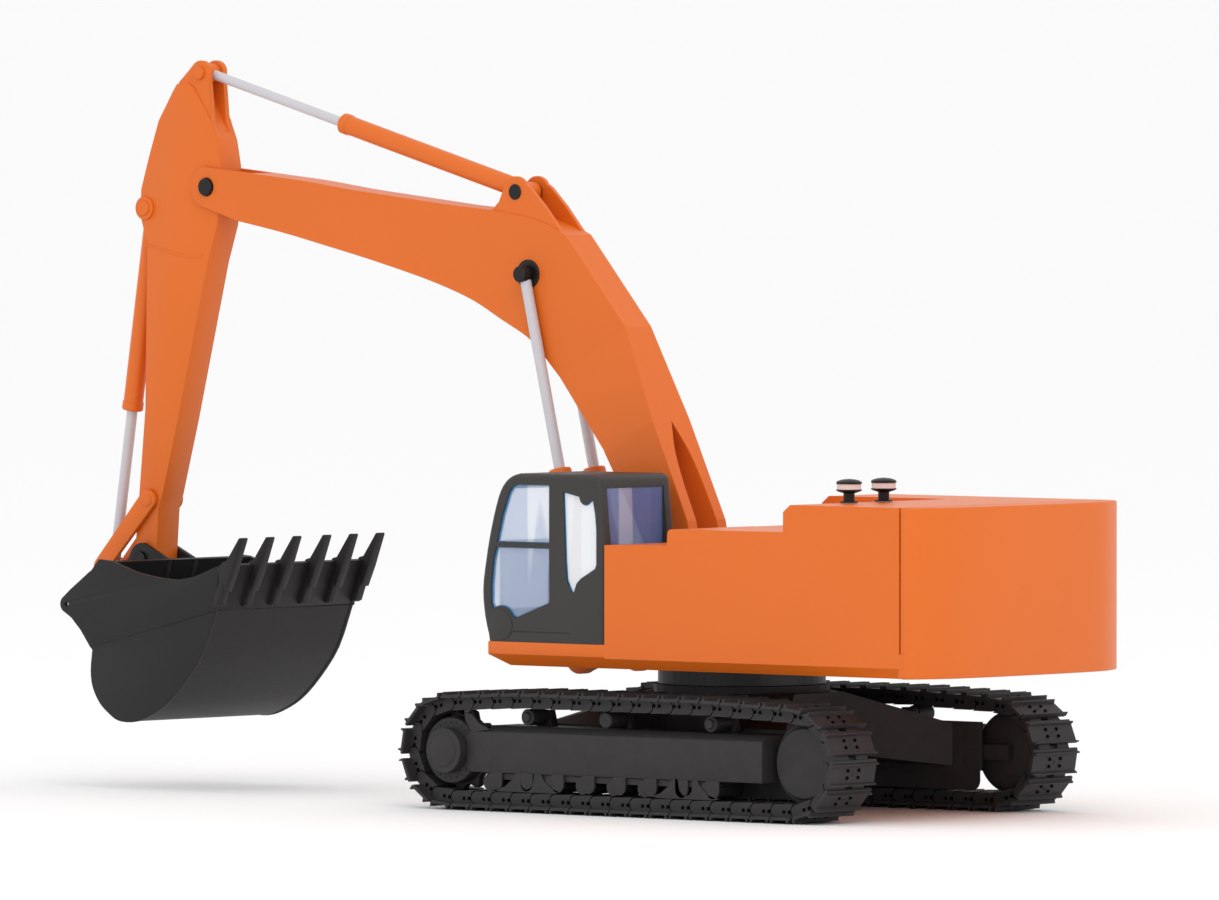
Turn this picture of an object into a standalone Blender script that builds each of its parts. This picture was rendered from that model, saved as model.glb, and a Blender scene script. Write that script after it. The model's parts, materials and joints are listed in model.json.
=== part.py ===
"""Radio-controlled tracked excavator, about 1:14, as an assembly of separate pieces.

Machine frame: X forward from the slew axis, Y to the operator's left, Z up from the ground.
Every length below is in millimetres in that frame; objects are made in metres, and an empty
moves the machine so that the middle of its bounding box stands over the origin.
"""

import math

import bmesh
import bpy
from mathutils import Matrix, Vector

MM = 0.001
GAP = 0.3

# Tracks
TRACK_Y = 82.0
SHOE_WIDTH = 36.0
SHOE_COUNT = 46
SPROCKET_X = 120.0
IDLER_X = -115.0
WHEEL_Z = 30.5
PIN_LINE = 6.3
PIN_LOOP_R = WHEEL_Z - PIN_LINE
TOP_RUN_Z = 57.1
RAIL_IN = 3.6
RAIL_OUT = 3.4
RAIL_INNER_Y = 2.9
RAIL_OUTER_Y = 12.4
SHOE_PLATE = 4.5
CARRIER_XS = (71.0, 17.0, -53.0)
CARRIER_R = 4.3
CARRIER_Z = TOP_RUN_Z - RAIL_IN - GAP - CARRIER_R
ROLLER_COUNT = 8
ROLLER_FIRST_X = 92.0
ROLLER_PITCH = 21.0
ROLLER_R = 4.6
ROLLER_Z = PIN_LINE + RAIL_IN + GAP + ROLLER_R

# Undercarriage frames
FRAME_INNER_Y = 68.0
FRAME_OUTER_Y = 94.6
FRAME_LOW_Z = 19.8
FRAME_HIGH_Z = 44.2
FRAME_REAR_X = -92.4
FRAME_FRONT_X = 94.0
CHEEK_FRONT_X = 107.9
HUB_R = 17.2

# Slewing
RING_OUTER_R = 43.7
RING_LOW_Z = 66.0
RING_TEETH = 48
PINION_TEETH = 12
RING_PITCH_R = 32.0
PINION_PITCH_R = RING_PITCH_R * PINION_TEETH / RING_TEETH
PINION_X = -(RING_PITCH_R - PINION_PITCH_R)

# House
HOUSE_Y = 85.8
DECK_LOW_Z = 75.2
DECK_MID_Z = 81.0
DECK_TOP_Z = 87.7
DECK_FRONT_X = 100.4
COVER_FRONT_X = 20.7
COVER_REAR_X = -175.9
COVER_LOW_TOP_Z = 140.3
COVER_STEP_X = -22.0
COVER_MID_TOP_Z = 148.2
COVER_BOX_X = -99.2
COVER_TOP_Z = 162.7
TANK_FRONT_X = -20.0
TANK_INNER_Y = -41.0
BAY_Y = 22.0
BAY_REAR_X = -10.0
WALL = 2.0
TAIL_X = -195.8
CAB_INNER_Y = 28.0
CAB_TOP_Z = 175.2
CAB_REAR_X = 21.1
INTAKE_X = -111.0
INTAKE_YS = (47.0, 19.0)

# Pivots of the arm, as (X, Z)
BOOM_FOOT = (28.0, 112.0)
BOOM_CYL_BASE = (89.6, 78.0)
BOOM_CYL_ROD = (137.2, 276.9)
STICK_PIVOT = (363.9, 320.7)
STICK_CYL_BASE = (147.1, 319.9)
STICK_CYL_ROD = (371.0, 381.5)
BUCKET_CYL_BASE = (409.5, 309.0)
ROCKER_PIVOT = (405.7, 152.9)
LINK_PIVOT = (439.5, 116.5)
BUCKET_PIVOT = (409.5, 121.5)
BUCKET_LINK_PIVOT = (423.6, 98.0)

# Arm sections
BOOM_HALF = 10.5
BOOM_FOOT_HALF = 15.9
KNEE_SLANT = math.radians(29.5)
BOOM_LEG_INNER = 9.0
EAR_INNER = 9.0
STICK_HALF = 8.6
BOOM_CYL_Y = 13.8
BOOM_BARREL_LENGTH = 100.0
BOOM_BARREL_R = 5.7
BOOM_BORE_R = 4.95
BOOM_ROD_R = 2.95
STICK_ROD_OUT = 95.0
STICK_BARREL_R = 5.3
STICK_BORE_R = 4.5
STICK_ROD_R = 2.4
BUCKET_BARREL_R = 5.2
BUCKET_BORE_R = 4.2
BUCKET_ROD_R = 2.9
BUCKET_HALF = 55.4
LINK_EYE_R = 4.8
TOOTH_YS = (-55.0, -33.5, -12.0, 12.0, 33.5, 55.0)
TOOTH_HALF = 3.0

FRONT_X = LINK_PIVOT[0] + LINK_EYE_R
MODEL_SHIFT = -(FRONT_X + TAIL_X) / 2

COLOURS = {
    "orange": ((0.80, 0.19, 0.03), 0.42, 0.0),
    "charcoal": ((0.045, 0.043, 0.043), 0.55, 0.0),
    "steel": ((0.10, 0.10, 0.10), 0.45, 0.8),
    "chrome": ((0.75, 0.75, 0.77), 0.15, 1.0),
    "glass": ((0.62, 0.76, 0.90), 0.05, 0.0),
    "pale": ((0.80, 0.70, 0.68), 0.50, 0.0),
    "board": ((0.05, 0.25, 0.10), 0.60, 0.0),
    "wrap": ((0.06, 0.09, 0.28), 0.50, 0.0),
}


# ---------------------------------------------------------------- scene helpers


def clear_scene():
    for obj in list(bpy.data.objects):
        bpy.data.objects.remove(obj, do_unlink=True)


def new_collection(name):
    collection = bpy.data.collections.new(name)
    bpy.context.scene.collection.children.link(collection)
    return collection


def material(name):
    if name in bpy.data.materials:
        return bpy.data.materials[name]
    colour, roughness, metallic = COLOURS[name]
    made = bpy.data.materials.new(name)
    made.use_nodes = True
    shader = made.node_tree.nodes["Principled BSDF"]
    shader.inputs["Base Color"].default_value = (*colour, 1.0)
    shader.inputs["Roughness"].default_value = roughness
    shader.inputs["Metallic"].default_value = metallic
    return made


# ---------------------------------------------------------------- shape helpers


def tidy(mesh):
    """Welds the loose seams of a mesh and turns its faces outwards."""
    work = bmesh.new()
    work.from_mesh(mesh)
    bmesh.ops.remove_doubles(work, verts=work.verts, dist=1e-6)
    bmesh.ops.recalc_face_normals(work, faces=work.faces)
    work.to_mesh(mesh)
    work.free()
    return mesh


def evaluated_mesh(data, prepare=None):
    """The mesh that a curve, or a mesh with modifiers, comes out as."""
    helper = bpy.data.objects.new("helper", data)
    bpy.context.scene.collection.objects.link(helper)
    if prepare:
        prepare(helper)
    graph = bpy.context.evaluated_depsgraph_get()
    mesh = bpy.data.meshes.new_from_object(helper.evaluated_get(graph))
    bpy.data.objects.remove(helper, do_unlink=True)
    return tidy(mesh)


def flat_mesh(loops, thickness):
    """Closed outlines, the later ones holes, filled and given a thickness about z = 0."""
    curve = bpy.data.curves.new("outline", "CURVE")
    curve.dimensions = "2D"
    curve.fill_mode = "BOTH"
    curve.extrude = thickness / 2 * MM
    for loop in loops:
        spline = curve.splines.new("POLY")
        spline.points.add(len(loop) - 1)
        spline.use_cyclic_u = True
        for point, (a, b) in zip(spline.points, loop):
            point.co = (a * MM, b * MM, 0, 1)
    return evaluated_mesh(curve)


def side_plate(loops, y_low, y_high):
    """Outlines in X and Z, made into a plate between two values of Y."""
    mesh = flat_mesh(loops, y_high - y_low)
    middle = Vector((0, (y_low + y_high) / 2 * MM, 0))
    mesh.transform(Matrix.Translation(middle) @ Matrix.Rotation(math.pi / 2, 4, "X"))
    return mesh


def floor_plate(loops, z_low, z_high):
    """Outlines in X and Y, made into a plate between two values of Z."""
    mesh = flat_mesh(loops, z_high - z_low)
    mesh.transform(Matrix.Translation((0, 0, (z_low + z_high) / 2 * MM)))
    return mesh


def beam(loops, x_low, x_high):
    """Outlines in Y and Z, made into a bar between two values of X."""
    mesh = flat_mesh(loops, x_high - x_low)
    turn = Matrix(((0, 0, 1, 0), (1, 0, 0, 0), (0, 1, 0, 0), (0, 0, 0, 1)))
    mesh.transform(Matrix.Translation(((x_low + x_high) / 2 * MM, 0, 0)) @ turn)
    return mesh


def box(low, high):
    work = bmesh.new()
    bmesh.ops.create_cube(work, size=1.0)
    for vert in work.verts:
        for i in range(3):
            vert.co[i] = (low[i] if vert.co[i] < 0 else high[i]) * MM
    mesh = bpy.data.meshes.new("box")
    work.to_mesh(mesh)
    work.free()
    return mesh


def closed_band(outer, inner, y_low, y_high):
    """An endless band between two loops of the same number of points in X and Z."""
    count = len(outer)
    rings = ((outer, y_low), (outer, y_high), (inner, y_high), (inner, y_low))
    points = [(x * MM, y * MM, z * MM) for loop, y in rings for x, z in loop]
    faces = []
    for ring in range(4):
        for i in range(count):
            here, there = ring * count, (ring + 1) % 4 * count
            nxt = (i + 1) % count
            faces.append((here + i, here + nxt, there + nxt, there + i))
    mesh = bpy.data.meshes.new("band")
    mesh.from_pydata(points, [], faces)
    return tidy(mesh)


def rod_between(start, end, radius, segments=16, end_radius=None):
    """A cylinder, or a cone, from one point to another."""
    start, end = Vector(start), Vector(end)
    work = bmesh.new()
    bmesh.ops.create_cone(
        work,
        cap_ends=True,
        segments=segments,
        radius1=radius * MM,
        radius2=(radius if end_radius is None else end_radius) * MM,
        depth=(end - start).length * MM,
    )
    mesh = bpy.data.meshes.new("rod")
    work.to_mesh(mesh)
    work.free()
    turn = (end - start).to_track_quat("Z", "Y").to_matrix().to_4x4()
    mesh.transform(Matrix.Translation((start + end) / 2 * MM) @ turn)
    return mesh


def turned(profile, steps, centre=(0, 0, 0), axis="Z"):
    """A closed profile of (radius, height) spun about its axis, then laid along Z or Y."""
    mesh = bpy.data.meshes.new("profile")
    points = [(r * MM, 0, h * MM) for r, h in profile]
    edges = [(i, (i + 1) % len(points)) for i in range(len(points))]
    if profile[0][0] == 0 and profile[-1][0] == 0:
        edges.pop()
    mesh.from_pydata(points, edges, [])

    def spin(obj):
        screw = obj.modifiers.new("Turn", "SCREW")
        screw.steps = screw.render_steps = steps
        screw.use_merge_vertices = True
        screw.merge_threshold = 1e-5

    made = evaluated_mesh(mesh, spin)
    turn = Matrix.Rotation(-math.pi / 2, 4, "X") if axis == "Y" else Matrix.Identity(4)
    made.transform(Matrix.Translation(Vector(centre) * MM) @ turn)
    return made


def add_part(name, colour, mesh, pivot, smooth=True):
    """Makes the node, with its origin on its pivot."""
    pivot = Vector(pivot)
    mesh.transform(Matrix.Translation(-pivot * MM))
    mesh.name = name
    mesh.materials.clear()
    mesh.materials.append(material(colour))
    if smooth:
        mesh.shade_smooth()
        mesh.set_sharp_from_angle(angle=math.radians(35))
    obj = bpy.data.objects.new(name, mesh)
    PARTS.objects.link(obj)
    obj.parent = MACHINE
    obj.location = pivot * MM
    return obj


def boolean(obj, mesh, operation):
    tool = bpy.data.objects.new(f"{obj.name}_{operation.lower()}_{len(obj.modifiers)}", mesh)
    CUTTERS.objects.link(tool)
    tool.parent = MACHINE
    tool.hide_render = True
    tool.display_type = "WIRE"
    modifier = obj.modifiers.new(tool.name, "BOOLEAN")
    modifier.operation = operation
    modifier.object = tool
    modifier.solver = "EXACT"


def join(obj, *meshes):
    for mesh in meshes:
        boolean(obj, mesh, "UNION")
    return obj


def cut(obj, *meshes):
    for mesh in meshes:
        boolean(obj, mesh, "DIFFERENCE")
    return obj


# ---------------------------------------------------------------- outline helpers


def circle(centre, radius, count=16):
    return [
        (
            centre[0] + radius * math.cos(2 * math.pi * i / count),
            centre[1] + radius * math.sin(2 * math.pi * i / count),
        )
        for i in range(count)
    ]


def arc(centre, radius, start, end, count=6):
    """Points on an arc, angles in degrees, both ends included."""
    angles = [math.radians(start + (end - start) * i / (count - 1)) for i in range(count)]
    return [(centre[0] + radius * math.cos(a), centre[1] + radius * math.sin(a)) for a in angles]


def capsule(start, end, start_r, end_r, count=7):
    """The outline round two circles of one link."""
    heading = math.degrees(math.atan2(end[1] - start[1], end[0] - start[0]))
    return arc(start, start_r, heading + 90, heading + 270, count) + arc(
        end, end_r, heading - 90, heading + 90, count
    )


def along(start, end, distance):
    """The point this far from start towards end."""
    length = math.hypot(end[0] - start[0], end[1] - start[1])
    return tuple(a + (b - a) * distance / length for a, b in zip(start, end))


def at_y(point, y):
    return (point[0], y, point[1])


def gear_outline(teeth, pitch_r, tip, root, centre=(0, 0), turn=0.0):
    """Trapezoid teeth: tip and root are radii, with a tooth at the angle turn."""
    points = []
    step = 2 * math.pi / teeth
    for i in range(teeth):
        middle = turn + i * step
        for share, radius in ((-0.32, root), (-0.12, tip), (0.12, tip), (0.32, root)):
            angle = middle + share * step
            points.append(
                (centre[0] + radius * math.cos(angle), centre[1] + radius * math.sin(angle))
            )
    return points


# ---------------------------------------------------------------- tracks


def pin_loop():
    """The closed line of the chain's pins, as straight and curved runs in order."""
    front = Vector((SPROCKET_X, WHEEL_Z))
    rear = Vector((IDLER_X, WHEEL_Z))
    top_front = Vector((CARRIER_XS[0], TOP_RUN_Z))
    top_rear = Vector((CARRIER_XS[-1], TOP_RUN_Z))

    def tangent_angle(centre, point, side):
        gap = point - centre
        return math.atan2(gap.y, gap.x) + side * math.acos(PIN_LOOP_R / gap.length)

    front_end = tangent_angle(front, top_front, -1)
    rear_start = tangent_angle(rear, top_rear, 1)
    runs = [
        ("line", rear + Vector((0, -PIN_LOOP_R)), front + Vector((0, -PIN_LOOP_R))),
        ("arc", front, -math.pi / 2, front_end),
        ("line", front + PIN_LOOP_R * Vector((math.cos(front_end), math.sin(front_end))), top_front),
        ("line", top_front, top_rear),
        ("line", top_rear, rear + PIN_LOOP_R * Vector((math.cos(rear_start), math.sin(rear_start)))),
        ("arc", rear, rear_start, 3 * math.pi / 2),
    ]
    return runs


def run_length(run):
    if run[0] == "line":
        return (run[2] - run[1]).length
    return PIN_LOOP_R * (run[3] - run[2])


def loop_point(runs, distance, offset):
    """The point this far round the loop, moved outwards by offset."""
    distance %= sum(run_length(run) for run in runs)
    for run in runs:
        length = run_length(run)
        if distance <= length:
            break
        distance -= length
    if run[0] == "line":
        heading = (run[2] - run[1]).normalized()
        outward = Vector((heading.y, -heading.x))
        return tuple(run[1] + heading * distance + outward * offset)
    angle = run[2] + distance / PIN_LOOP_R
    return tuple(run[1] + (PIN_LOOP_R + offset) * Vector((math.cos(angle), math.sin(angle))))


def chain(side, sign):
    """The endless track: a band of shoes with grousers, on two rails of links."""
    runs = pin_loop()
    pitch = sum(run_length(run) for run in runs) / SHOE_COUNT
    shoes, under_shoes = [], []
    for i in range(SHOE_COUNT):
        for share, offset in ((0.08, SHOE_PLATE), (0.2, PIN_LINE), (0.8, PIN_LINE), (0.92, SHOE_PLATE)):
            shoes.append(loop_point(runs, (i + share) * pitch, offset))
            under_shoes.append(loop_point(runs, (i + share) * pitch, RAIL_OUT - 0.6))
    rail_outer = [loop_point(runs, (i + 0.5) * pitch, RAIL_OUT) for i in range(SHOE_COUNT)]
    rail_inner = [loop_point(runs, (i + 0.5) * pitch, -RAIL_IN) for i in range(SHOE_COUNT)]
    middle = sign * TRACK_Y
    band = closed_band(shoes, under_shoes, middle - SHOE_WIDTH / 2, middle + SHOE_WIDTH / 2)
    track = add_part(f"track_chain_{side}", "charcoal", band, (0, middle, WHEEL_Z), smooth=False)
    for low, high in ((RAIL_INNER_Y, RAIL_OUTER_Y), (-RAIL_OUTER_Y, -RAIL_INNER_Y)):
        join(track, closed_band(rail_outer, rail_inner, middle + low, middle + high))


def sprocket(side, sign):
    """Toothed drive wheel with the stepped cover of its final drive."""
    middle = sign * TRACK_Y
    teeth = gear_outline(11, 20.0, 23.2, 18.6, (SPROCKET_X, WHEEL_Z))
    wheel = add_part(
        f"sprocket_{side}",
        "charcoal",
        side_plate([teeth], middle - 2.5, middle + 2.5),
        (SPROCKET_X, middle, WHEEL_Z),
    )
    for inner, outer, radius in ((2.0, 10.8, HUB_R), (10.4, 17.0, 11.8), (16.6, 17.7, 8.6)):
        start = (SPROCKET_X, middle + sign * inner, WHEEL_Z)
        end = (SPROCKET_X, middle + sign * outer, WHEEL_Z)
        join(wheel, rod_between(start, end, radius, 32))


def idler(side, sign):
    """Plain front wheel with a guide flange, dished on its outer side."""
    middle = sign * TRACK_Y
    tread = PIN_LOOP_R - RAIL_IN - GAP - 0.9
    profile = [
        (0, 6.2),
        (tread - 1.6, 6.2),
        (tread, 4.8),
        (tread, 2.6),
        (tread + 2.2, 2.2),
        (tread + 2.2, -2.2),
        (tread, -2.6),
        (tread, -4.8),
        (tread - 1.6, -6.2),
        (0, -6.2),
    ]
    mesh = turned(profile, 32, (IDLER_X, middle, WHEEL_Z), axis="Y")
    add_part(f"idler_{side}", "charcoal", mesh, (IDLER_X, middle, WHEEL_Z))


def idler_yoke(side, sign):
    """Block on the frame's rear end with the arm that carries the idler's axle."""
    low, high = sorted((sign * (TRACK_Y - 13.4), sign * (TRACK_Y - 6.6)))
    slide = box((FRAME_REAR_X - 7.0, low, WHEEL_Z - 6), (FRAME_REAR_X - GAP, high, WHEEL_Z + 6))
    yoke = add_part(f"idler_yoke_{side}", "steel", slide, (FRAME_REAR_X, sign * TRACK_Y, WHEEL_Z), False)
    low, high = sorted((sign * (TRACK_Y - 10.0), sign * (TRACK_Y - 6.6)))
    join(yoke, box((IDLER_X - 5, low, WHEEL_Z - 4), (FRAME_REAR_X - 2, high, WHEEL_Z + 4)))


def carrier_rollers(side, sign):
    """Three small rollers that hold up the top run."""
    for i, x in enumerate(CARRIER_XS):
        low, high = TRACK_Y - 6.2, TRACK_Y + 6.6
        mesh = rod_between(
            (x, sign * low, CARRIER_Z), (x, sign * high, CARRIER_Z), CARRIER_R, 20
        )
        roller = add_part(f"carrier_roller_{side}_{i + 1}", "charcoal", mesh, (x, sign * TRACK_Y, CARRIER_Z))
        join(
            roller,
            rod_between((x, sign * (high - 0.5), CARRIER_Z), (x, sign * (high + 1.4), CARRIER_Z), 2.6, 16),
        )


def track_rollers(side, sign):
    """The eight lower rollers of one side on their common rail."""
    middle = sign * TRACK_Y
    last_x = ROLLER_FIRST_X - (ROLLER_COUNT - 1) * ROLLER_PITCH
    rail = box((last_x - 4, middle - 11.0, 16.4), (ROLLER_FIRST_X + 1.5, middle + 11.0, FRAME_LOW_Z - GAP))
    rack = add_part(f"track_rollers_{side}", "charcoal", rail, (0, middle, ROLLER_Z))
    for i in range(ROLLER_COUNT):
        x = ROLLER_FIRST_X - i * ROLLER_PITCH
        join(rack, rod_between((x, middle - 11.8, ROLLER_Z), (x, middle + 11.8, ROLLER_Z), ROLLER_R, 16))


def track_frame(side, sign):
    """Box beam of one side with the carriers' brackets and the arm that holds the drive motor."""
    section = [
        (FRAME_INNER_Y, FRAME_LOW_Z),
        (FRAME_OUTER_Y, FRAME_LOW_Z),
        (FRAME_OUTER_Y, 41.0),
        (FRAME_OUTER_Y - 5, FRAME_HIGH_Z),
        (FRAME_INNER_Y, FRAME_HIGH_Z),
    ]
    mesh = beam([[(sign * y, z) for y, z in section]], FRAME_REAR_X, FRAME_FRONT_X)
    frame = add_part(f"track_frame_{side}", "charcoal", mesh, (0, sign * FRAME_INNER_Y, FRAME_LOW_Z), False)
    wheel = (SPROCKET_X, WHEEL_Z)
    arm = [(90, 21), (90, 40), (118, 44)] + arc(wheel, 13.5, 80, -80, 8) + [(118, 17)]
    low, high = sorted((sign * (FRAME_INNER_Y + 0.4), sign * (FRAME_INNER_Y + 5.5)))
    join(frame, side_plate([arm, circle(wheel, 5.3, 16)], low, high))
    low, high = sorted((sign * (FRAME_OUTER_Y - 1.5), sign * FRAME_OUTER_Y))
    join(frame, box((FRAME_FRONT_X - 4, low, FRAME_LOW_Z), (CHEEK_FRONT_X, high, 41.0)))
    for x in CARRIER_XS:
        foot = [(x - 6, 42), (x + 6, 42), (x + 3.4, CARRIER_Z + 3.4), (x - 3.4, CARRIER_Z + 3.4)]
        low, high = sorted((sign * (FRAME_INNER_Y + 2), sign * (TRACK_Y - 6.2 - GAP)))
        join(frame, side_plate([foot], low, high))
    return frame


def drive_motor(side, sign):
    """Geared motor on the inner side of the frame; its shaft drives the sprocket."""
    can = rod_between(
        (SPROCKET_X, sign * (FRAME_INNER_Y - 0.3 - 22), WHEEL_Z),
        (SPROCKET_X, sign * (FRAME_INNER_Y - GAP), WHEEL_Z),
        10.5,
        24,
    )
    motor = add_part(f"drive_motor_{side}", "steel", can, (SPROCKET_X, sign * FRAME_INNER_Y, WHEEL_Z))
    join(
        motor,
        rod_between(
            (SPROCKET_X, sign * (FRAME_INNER_Y - 1), WHEEL_Z),
            (SPROCKET_X, sign * (TRACK_Y - 2.5 - GAP), WHEEL_Z),
            5.0,
            20,
        ),
    )


# ---------------------------------------------------------------- carbody and slewing


def carbody():
    """Cross-shaped middle frame with a drum under the slewing ring and four sloping legs."""
    reach = FRAME_INNER_Y - GAP
    plan = [
        (78, reach), (40, reach), (22, 40), (-22, 40), (-48, reach), (-86, reach),
        (-86, -reach), (-48, -reach), (-22, -40), (22, -40), (40, -reach), (78, -reach),
        (46, -20), (46, 20),
    ]
    rear = [(-52, -20), (-52, 20)]
    outline = plan[:6] + rear[::-1] + plan[6:]
    legs = floor_plate([outline], 30.0, 62.0)
    for vert in legs.vertices:
        if abs(vert.co.y) > 50 * MM:
            vert.co.z = (45.0 if vert.co.z > 0.046 else 23.0) * MM
    frame = add_part("carbody", "charcoal", legs, (0, 0, 46.0), smooth=False)
    join(frame, rod_between((0, 0, 31.0), (0, 0, RING_LOW_Z - GAP), 46.0, 32))


def slew_ring():
    """Fixed ring on the carbody with an internal gear."""
    gear = gear_outline(RING_TEETH, RING_PITCH_R, RING_PITCH_R - 0.9, RING_PITCH_R + 1.5)
    mesh = floor_plate([circle((0, 0), RING_OUTER_R, 48), gear], RING_LOW_Z, DECK_LOW_Z - GAP)
    add_part("slew_ring", "steel", mesh, (0, 0, RING_LOW_Z), smooth=False)


def slew_pinion():
    """Pinion that runs round the ring gear, with the shaft up to its motor."""
    half_space = math.pi / PINION_TEETH
    outline = gear_outline(
        PINION_TEETH, PINION_PITCH_R, PINION_PITCH_R + 0.9, PINION_PITCH_R - 1.3,
        (PINION_X, 0), math.pi + half_space,
    )
    mesh = floor_plate([outline], RING_LOW_Z + 1.0, DECK_LOW_Z - 1.0)
    pinion = add_part("slew_pinion", "steel", mesh, (PINION_X, 0, RING_LOW_Z), smooth=False)
    join(pinion, rod_between((PINION_X, 0, DECK_LOW_Z - 1.5), (PINION_X, 0, 83.0), 2.4, 16))


def slew_motor():
    """Geared motor that stands on the deck behind the boom bay."""
    flange = rod_between((PINION_X, 0, 83.4), (PINION_X, 0, 87.0), 15.0, 24)
    motor = add_part("slew_motor", "steel", flange, (PINION_X, 0, 83.4))
    join(motor, rod_between((PINION_X, 0, 86.5), (PINION_X, 0, 122.0), 11.5, 24))


# ---------------------------------------------------------------- house


def house_deck():
    """Floor of the house: a plate with bevelled edges, a raised cab floor and the pin lugs."""
    low = [
        (DECK_FRONT_X - 11, HOUSE_Y - 5.5), (DECK_FRONT_X - 11, 25.6), (66, 25.6), (66, -25.6),
        (DECK_FRONT_X - 11, -25.6), (DECK_FRONT_X - 11, 5.5 - HOUSE_Y),
        (COVER_REAR_X, 5.5 - HOUSE_Y), (COVER_REAR_X, HOUSE_Y - 5.5),
    ]
    plate = floor_plate([low], DECK_LOW_Z, DECK_MID_Z)
    for vert in plate.vertices:
        if vert.co.z > 0.078:
            if abs(vert.co.y) > 0.03:
                vert.co.y = math.copysign(HOUSE_Y * MM, vert.co.y)
            if vert.co.x > 0.08:
                vert.co.x = DECK_FRONT_X * MM
    deck = add_part("house_deck", "orange", plate, (0, 0, DECK_LOW_Z), smooth=False)
    floor = [
        (DECK_FRONT_X, HOUSE_Y), (DECK_FRONT_X, 25.6), (66, 25.6), (66, -25.6),
        (DECK_FRONT_X, -25.6), (DECK_FRONT_X, -HOUSE_Y),
        (COVER_FRONT_X + GAP, -HOUSE_Y), (COVER_FRONT_X + GAP, HOUSE_Y),
    ]
    join(deck, floor_plate([floor], DECK_MID_Z - 0.6, DECK_TOP_Z))
    for sign in (1, -1):
        base = [(60, 84), (72, 87.2)] + arc(BOOM_CYL_BASE, 9.2, 75, -125, 9) + [(70, 76.5), (60, 76.5)]
        low_y, high_y = sorted((sign * 19.8, sign * 26.2))
        join(deck, side_plate([base, circle(BOOM_CYL_BASE, 2.9, 12)], low_y, high_y))
        foot = [(12, 79.5), (46, 79.5), (39, BOOM_FOOT[1])]
        foot += arc(BOOM_FOOT, 9.5, 20, 160, 7) + [(17, BOOM_FOOT[1])]
        low_y, high_y = sorted((sign * (BOOM_FOOT_HALF + 0.5), sign * (BOOM_FOOT_HALF + 5.0)))
        join(deck, side_plate([foot, circle(BOOM_FOOT, 3.5, 16)], low_y, high_y))
    cut(deck, rod_between((PINION_X, 0, 70), (PINION_X, 0, 95), 3.2, 16))


def body_cover():
    """Engine cover: one stepped shell, open below, with a bay for the boom's foot."""
    low_z = DECK_MID_Z + GAP
    profile = [
        (COVER_FRONT_X, low_z), (COVER_FRONT_X, COVER_LOW_TOP_Z),
        (COVER_STEP_X, COVER_LOW_TOP_Z), (COVER_STEP_X, COVER_MID_TOP_Z - 2),
        (COVER_STEP_X - 2, COVER_MID_TOP_Z),
        (COVER_BOX_X, COVER_MID_TOP_Z), (COVER_BOX_X, COVER_TOP_Z - 4), (COVER_BOX_X - 4.5, COVER_TOP_Z),
        (COVER_REAR_X, COVER_TOP_Z), (COVER_REAR_X, low_z),
    ]
    tank = [
        (TANK_FRONT_X, 100), (TANK_FRONT_X, COVER_TOP_Z - 4), (TANK_FRONT_X - 4.5, COVER_TOP_Z - GAP),
        (COVER_BOX_X - 10, COVER_TOP_Z - GAP), (COVER_BOX_X - 10, 100),
    ]
    cover = add_part(
        "body_cover", "orange", side_plate([profile], -HOUSE_Y, HOUSE_Y), (0, 0, low_z), smooth=False
    )
    join(cover, side_plate([tank], GAP - HOUSE_Y, TANK_INNER_Y))
    room = [
        (COVER_FRONT_X - WALL, 70), (COVER_FRONT_X - WALL, COVER_LOW_TOP_Z - WALL),
        (COVER_STEP_X - WALL, COVER_LOW_TOP_Z - WALL), (COVER_STEP_X - WALL, COVER_MID_TOP_Z - WALL),
        (COVER_BOX_X - WALL, COVER_MID_TOP_Z - WALL), (COVER_BOX_X - 4.5 - WALL, COVER_TOP_Z - WALL),
        (COVER_REAR_X + WALL, COVER_TOP_Z - WALL), (COVER_REAR_X + WALL, 70),
    ]
    tank_room = [
        (TANK_FRONT_X - WALL, 90), (TANK_FRONT_X - WALL, COVER_TOP_Z - 5 - WALL),
        (COVER_BOX_X - 9, COVER_TOP_Z - 5 - WALL), (COVER_BOX_X - 9, 90),
    ]
    cut(
        cover,
        side_plate([room], WALL - HOUSE_Y, HOUSE_Y - WALL),
        side_plate([tank_room], WALL + GAP - HOUSE_Y, TANK_INNER_Y - WALL),
        box((BAY_REAR_X, -BAY_Y, 60), (COVER_FRONT_X + 20, BAY_Y, 180)),
    )


def tail_outline(inset=0.0):
    """Plan of the counterweight: a shallow curve between two tighter corners."""
    half = HOUSE_Y - inset
    curve = [(-183.5, half - 4.0), (-189.8, half - 16.5), (-193.2, half - 31), (-195.2, half - 58)]
    left = [(COVER_REAR_X - GAP, half)] + curve + [(TAIL_X + inset, 0)]
    return left + [(x, -y) for x, y in reversed(left[:-1])]


def counterweight():
    """Solid cast ballast block across the tail."""
    mesh = floor_plate([tail_outline()], DECK_LOW_Z, COVER_TOP_Z - 0.2)
    add_part("counterweight", "orange", mesh, (COVER_REAR_X, 0, DECK_LOW_Z))


def cab_outline(inset=0.0):
    """Side view of the cab, moved inwards by the inset."""
    front = [
        (100.3, 88.0), (103.7, 100.0), (105.1, 112.0), (105.1, 118.0), (103.1, 130.0),
        (99.6, 146.4), (94.3, 163.5), (90.2, 170.2), (85.2, 173.6), (80.0, CAB_TOP_Z),
    ]
    rear = [(25.0, CAB_TOP_Z), (CAB_REAR_X, 139.0), (CAB_REAR_X, 88.0)]
    if not inset:
        return front + rear
    middle = (62.0, 128.0)
    moved = []
    for x, z in front + rear:
        moved.append((x - math.copysign(inset, x - middle[0]), z - inset if z > 165 else z))
    return moved


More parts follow.
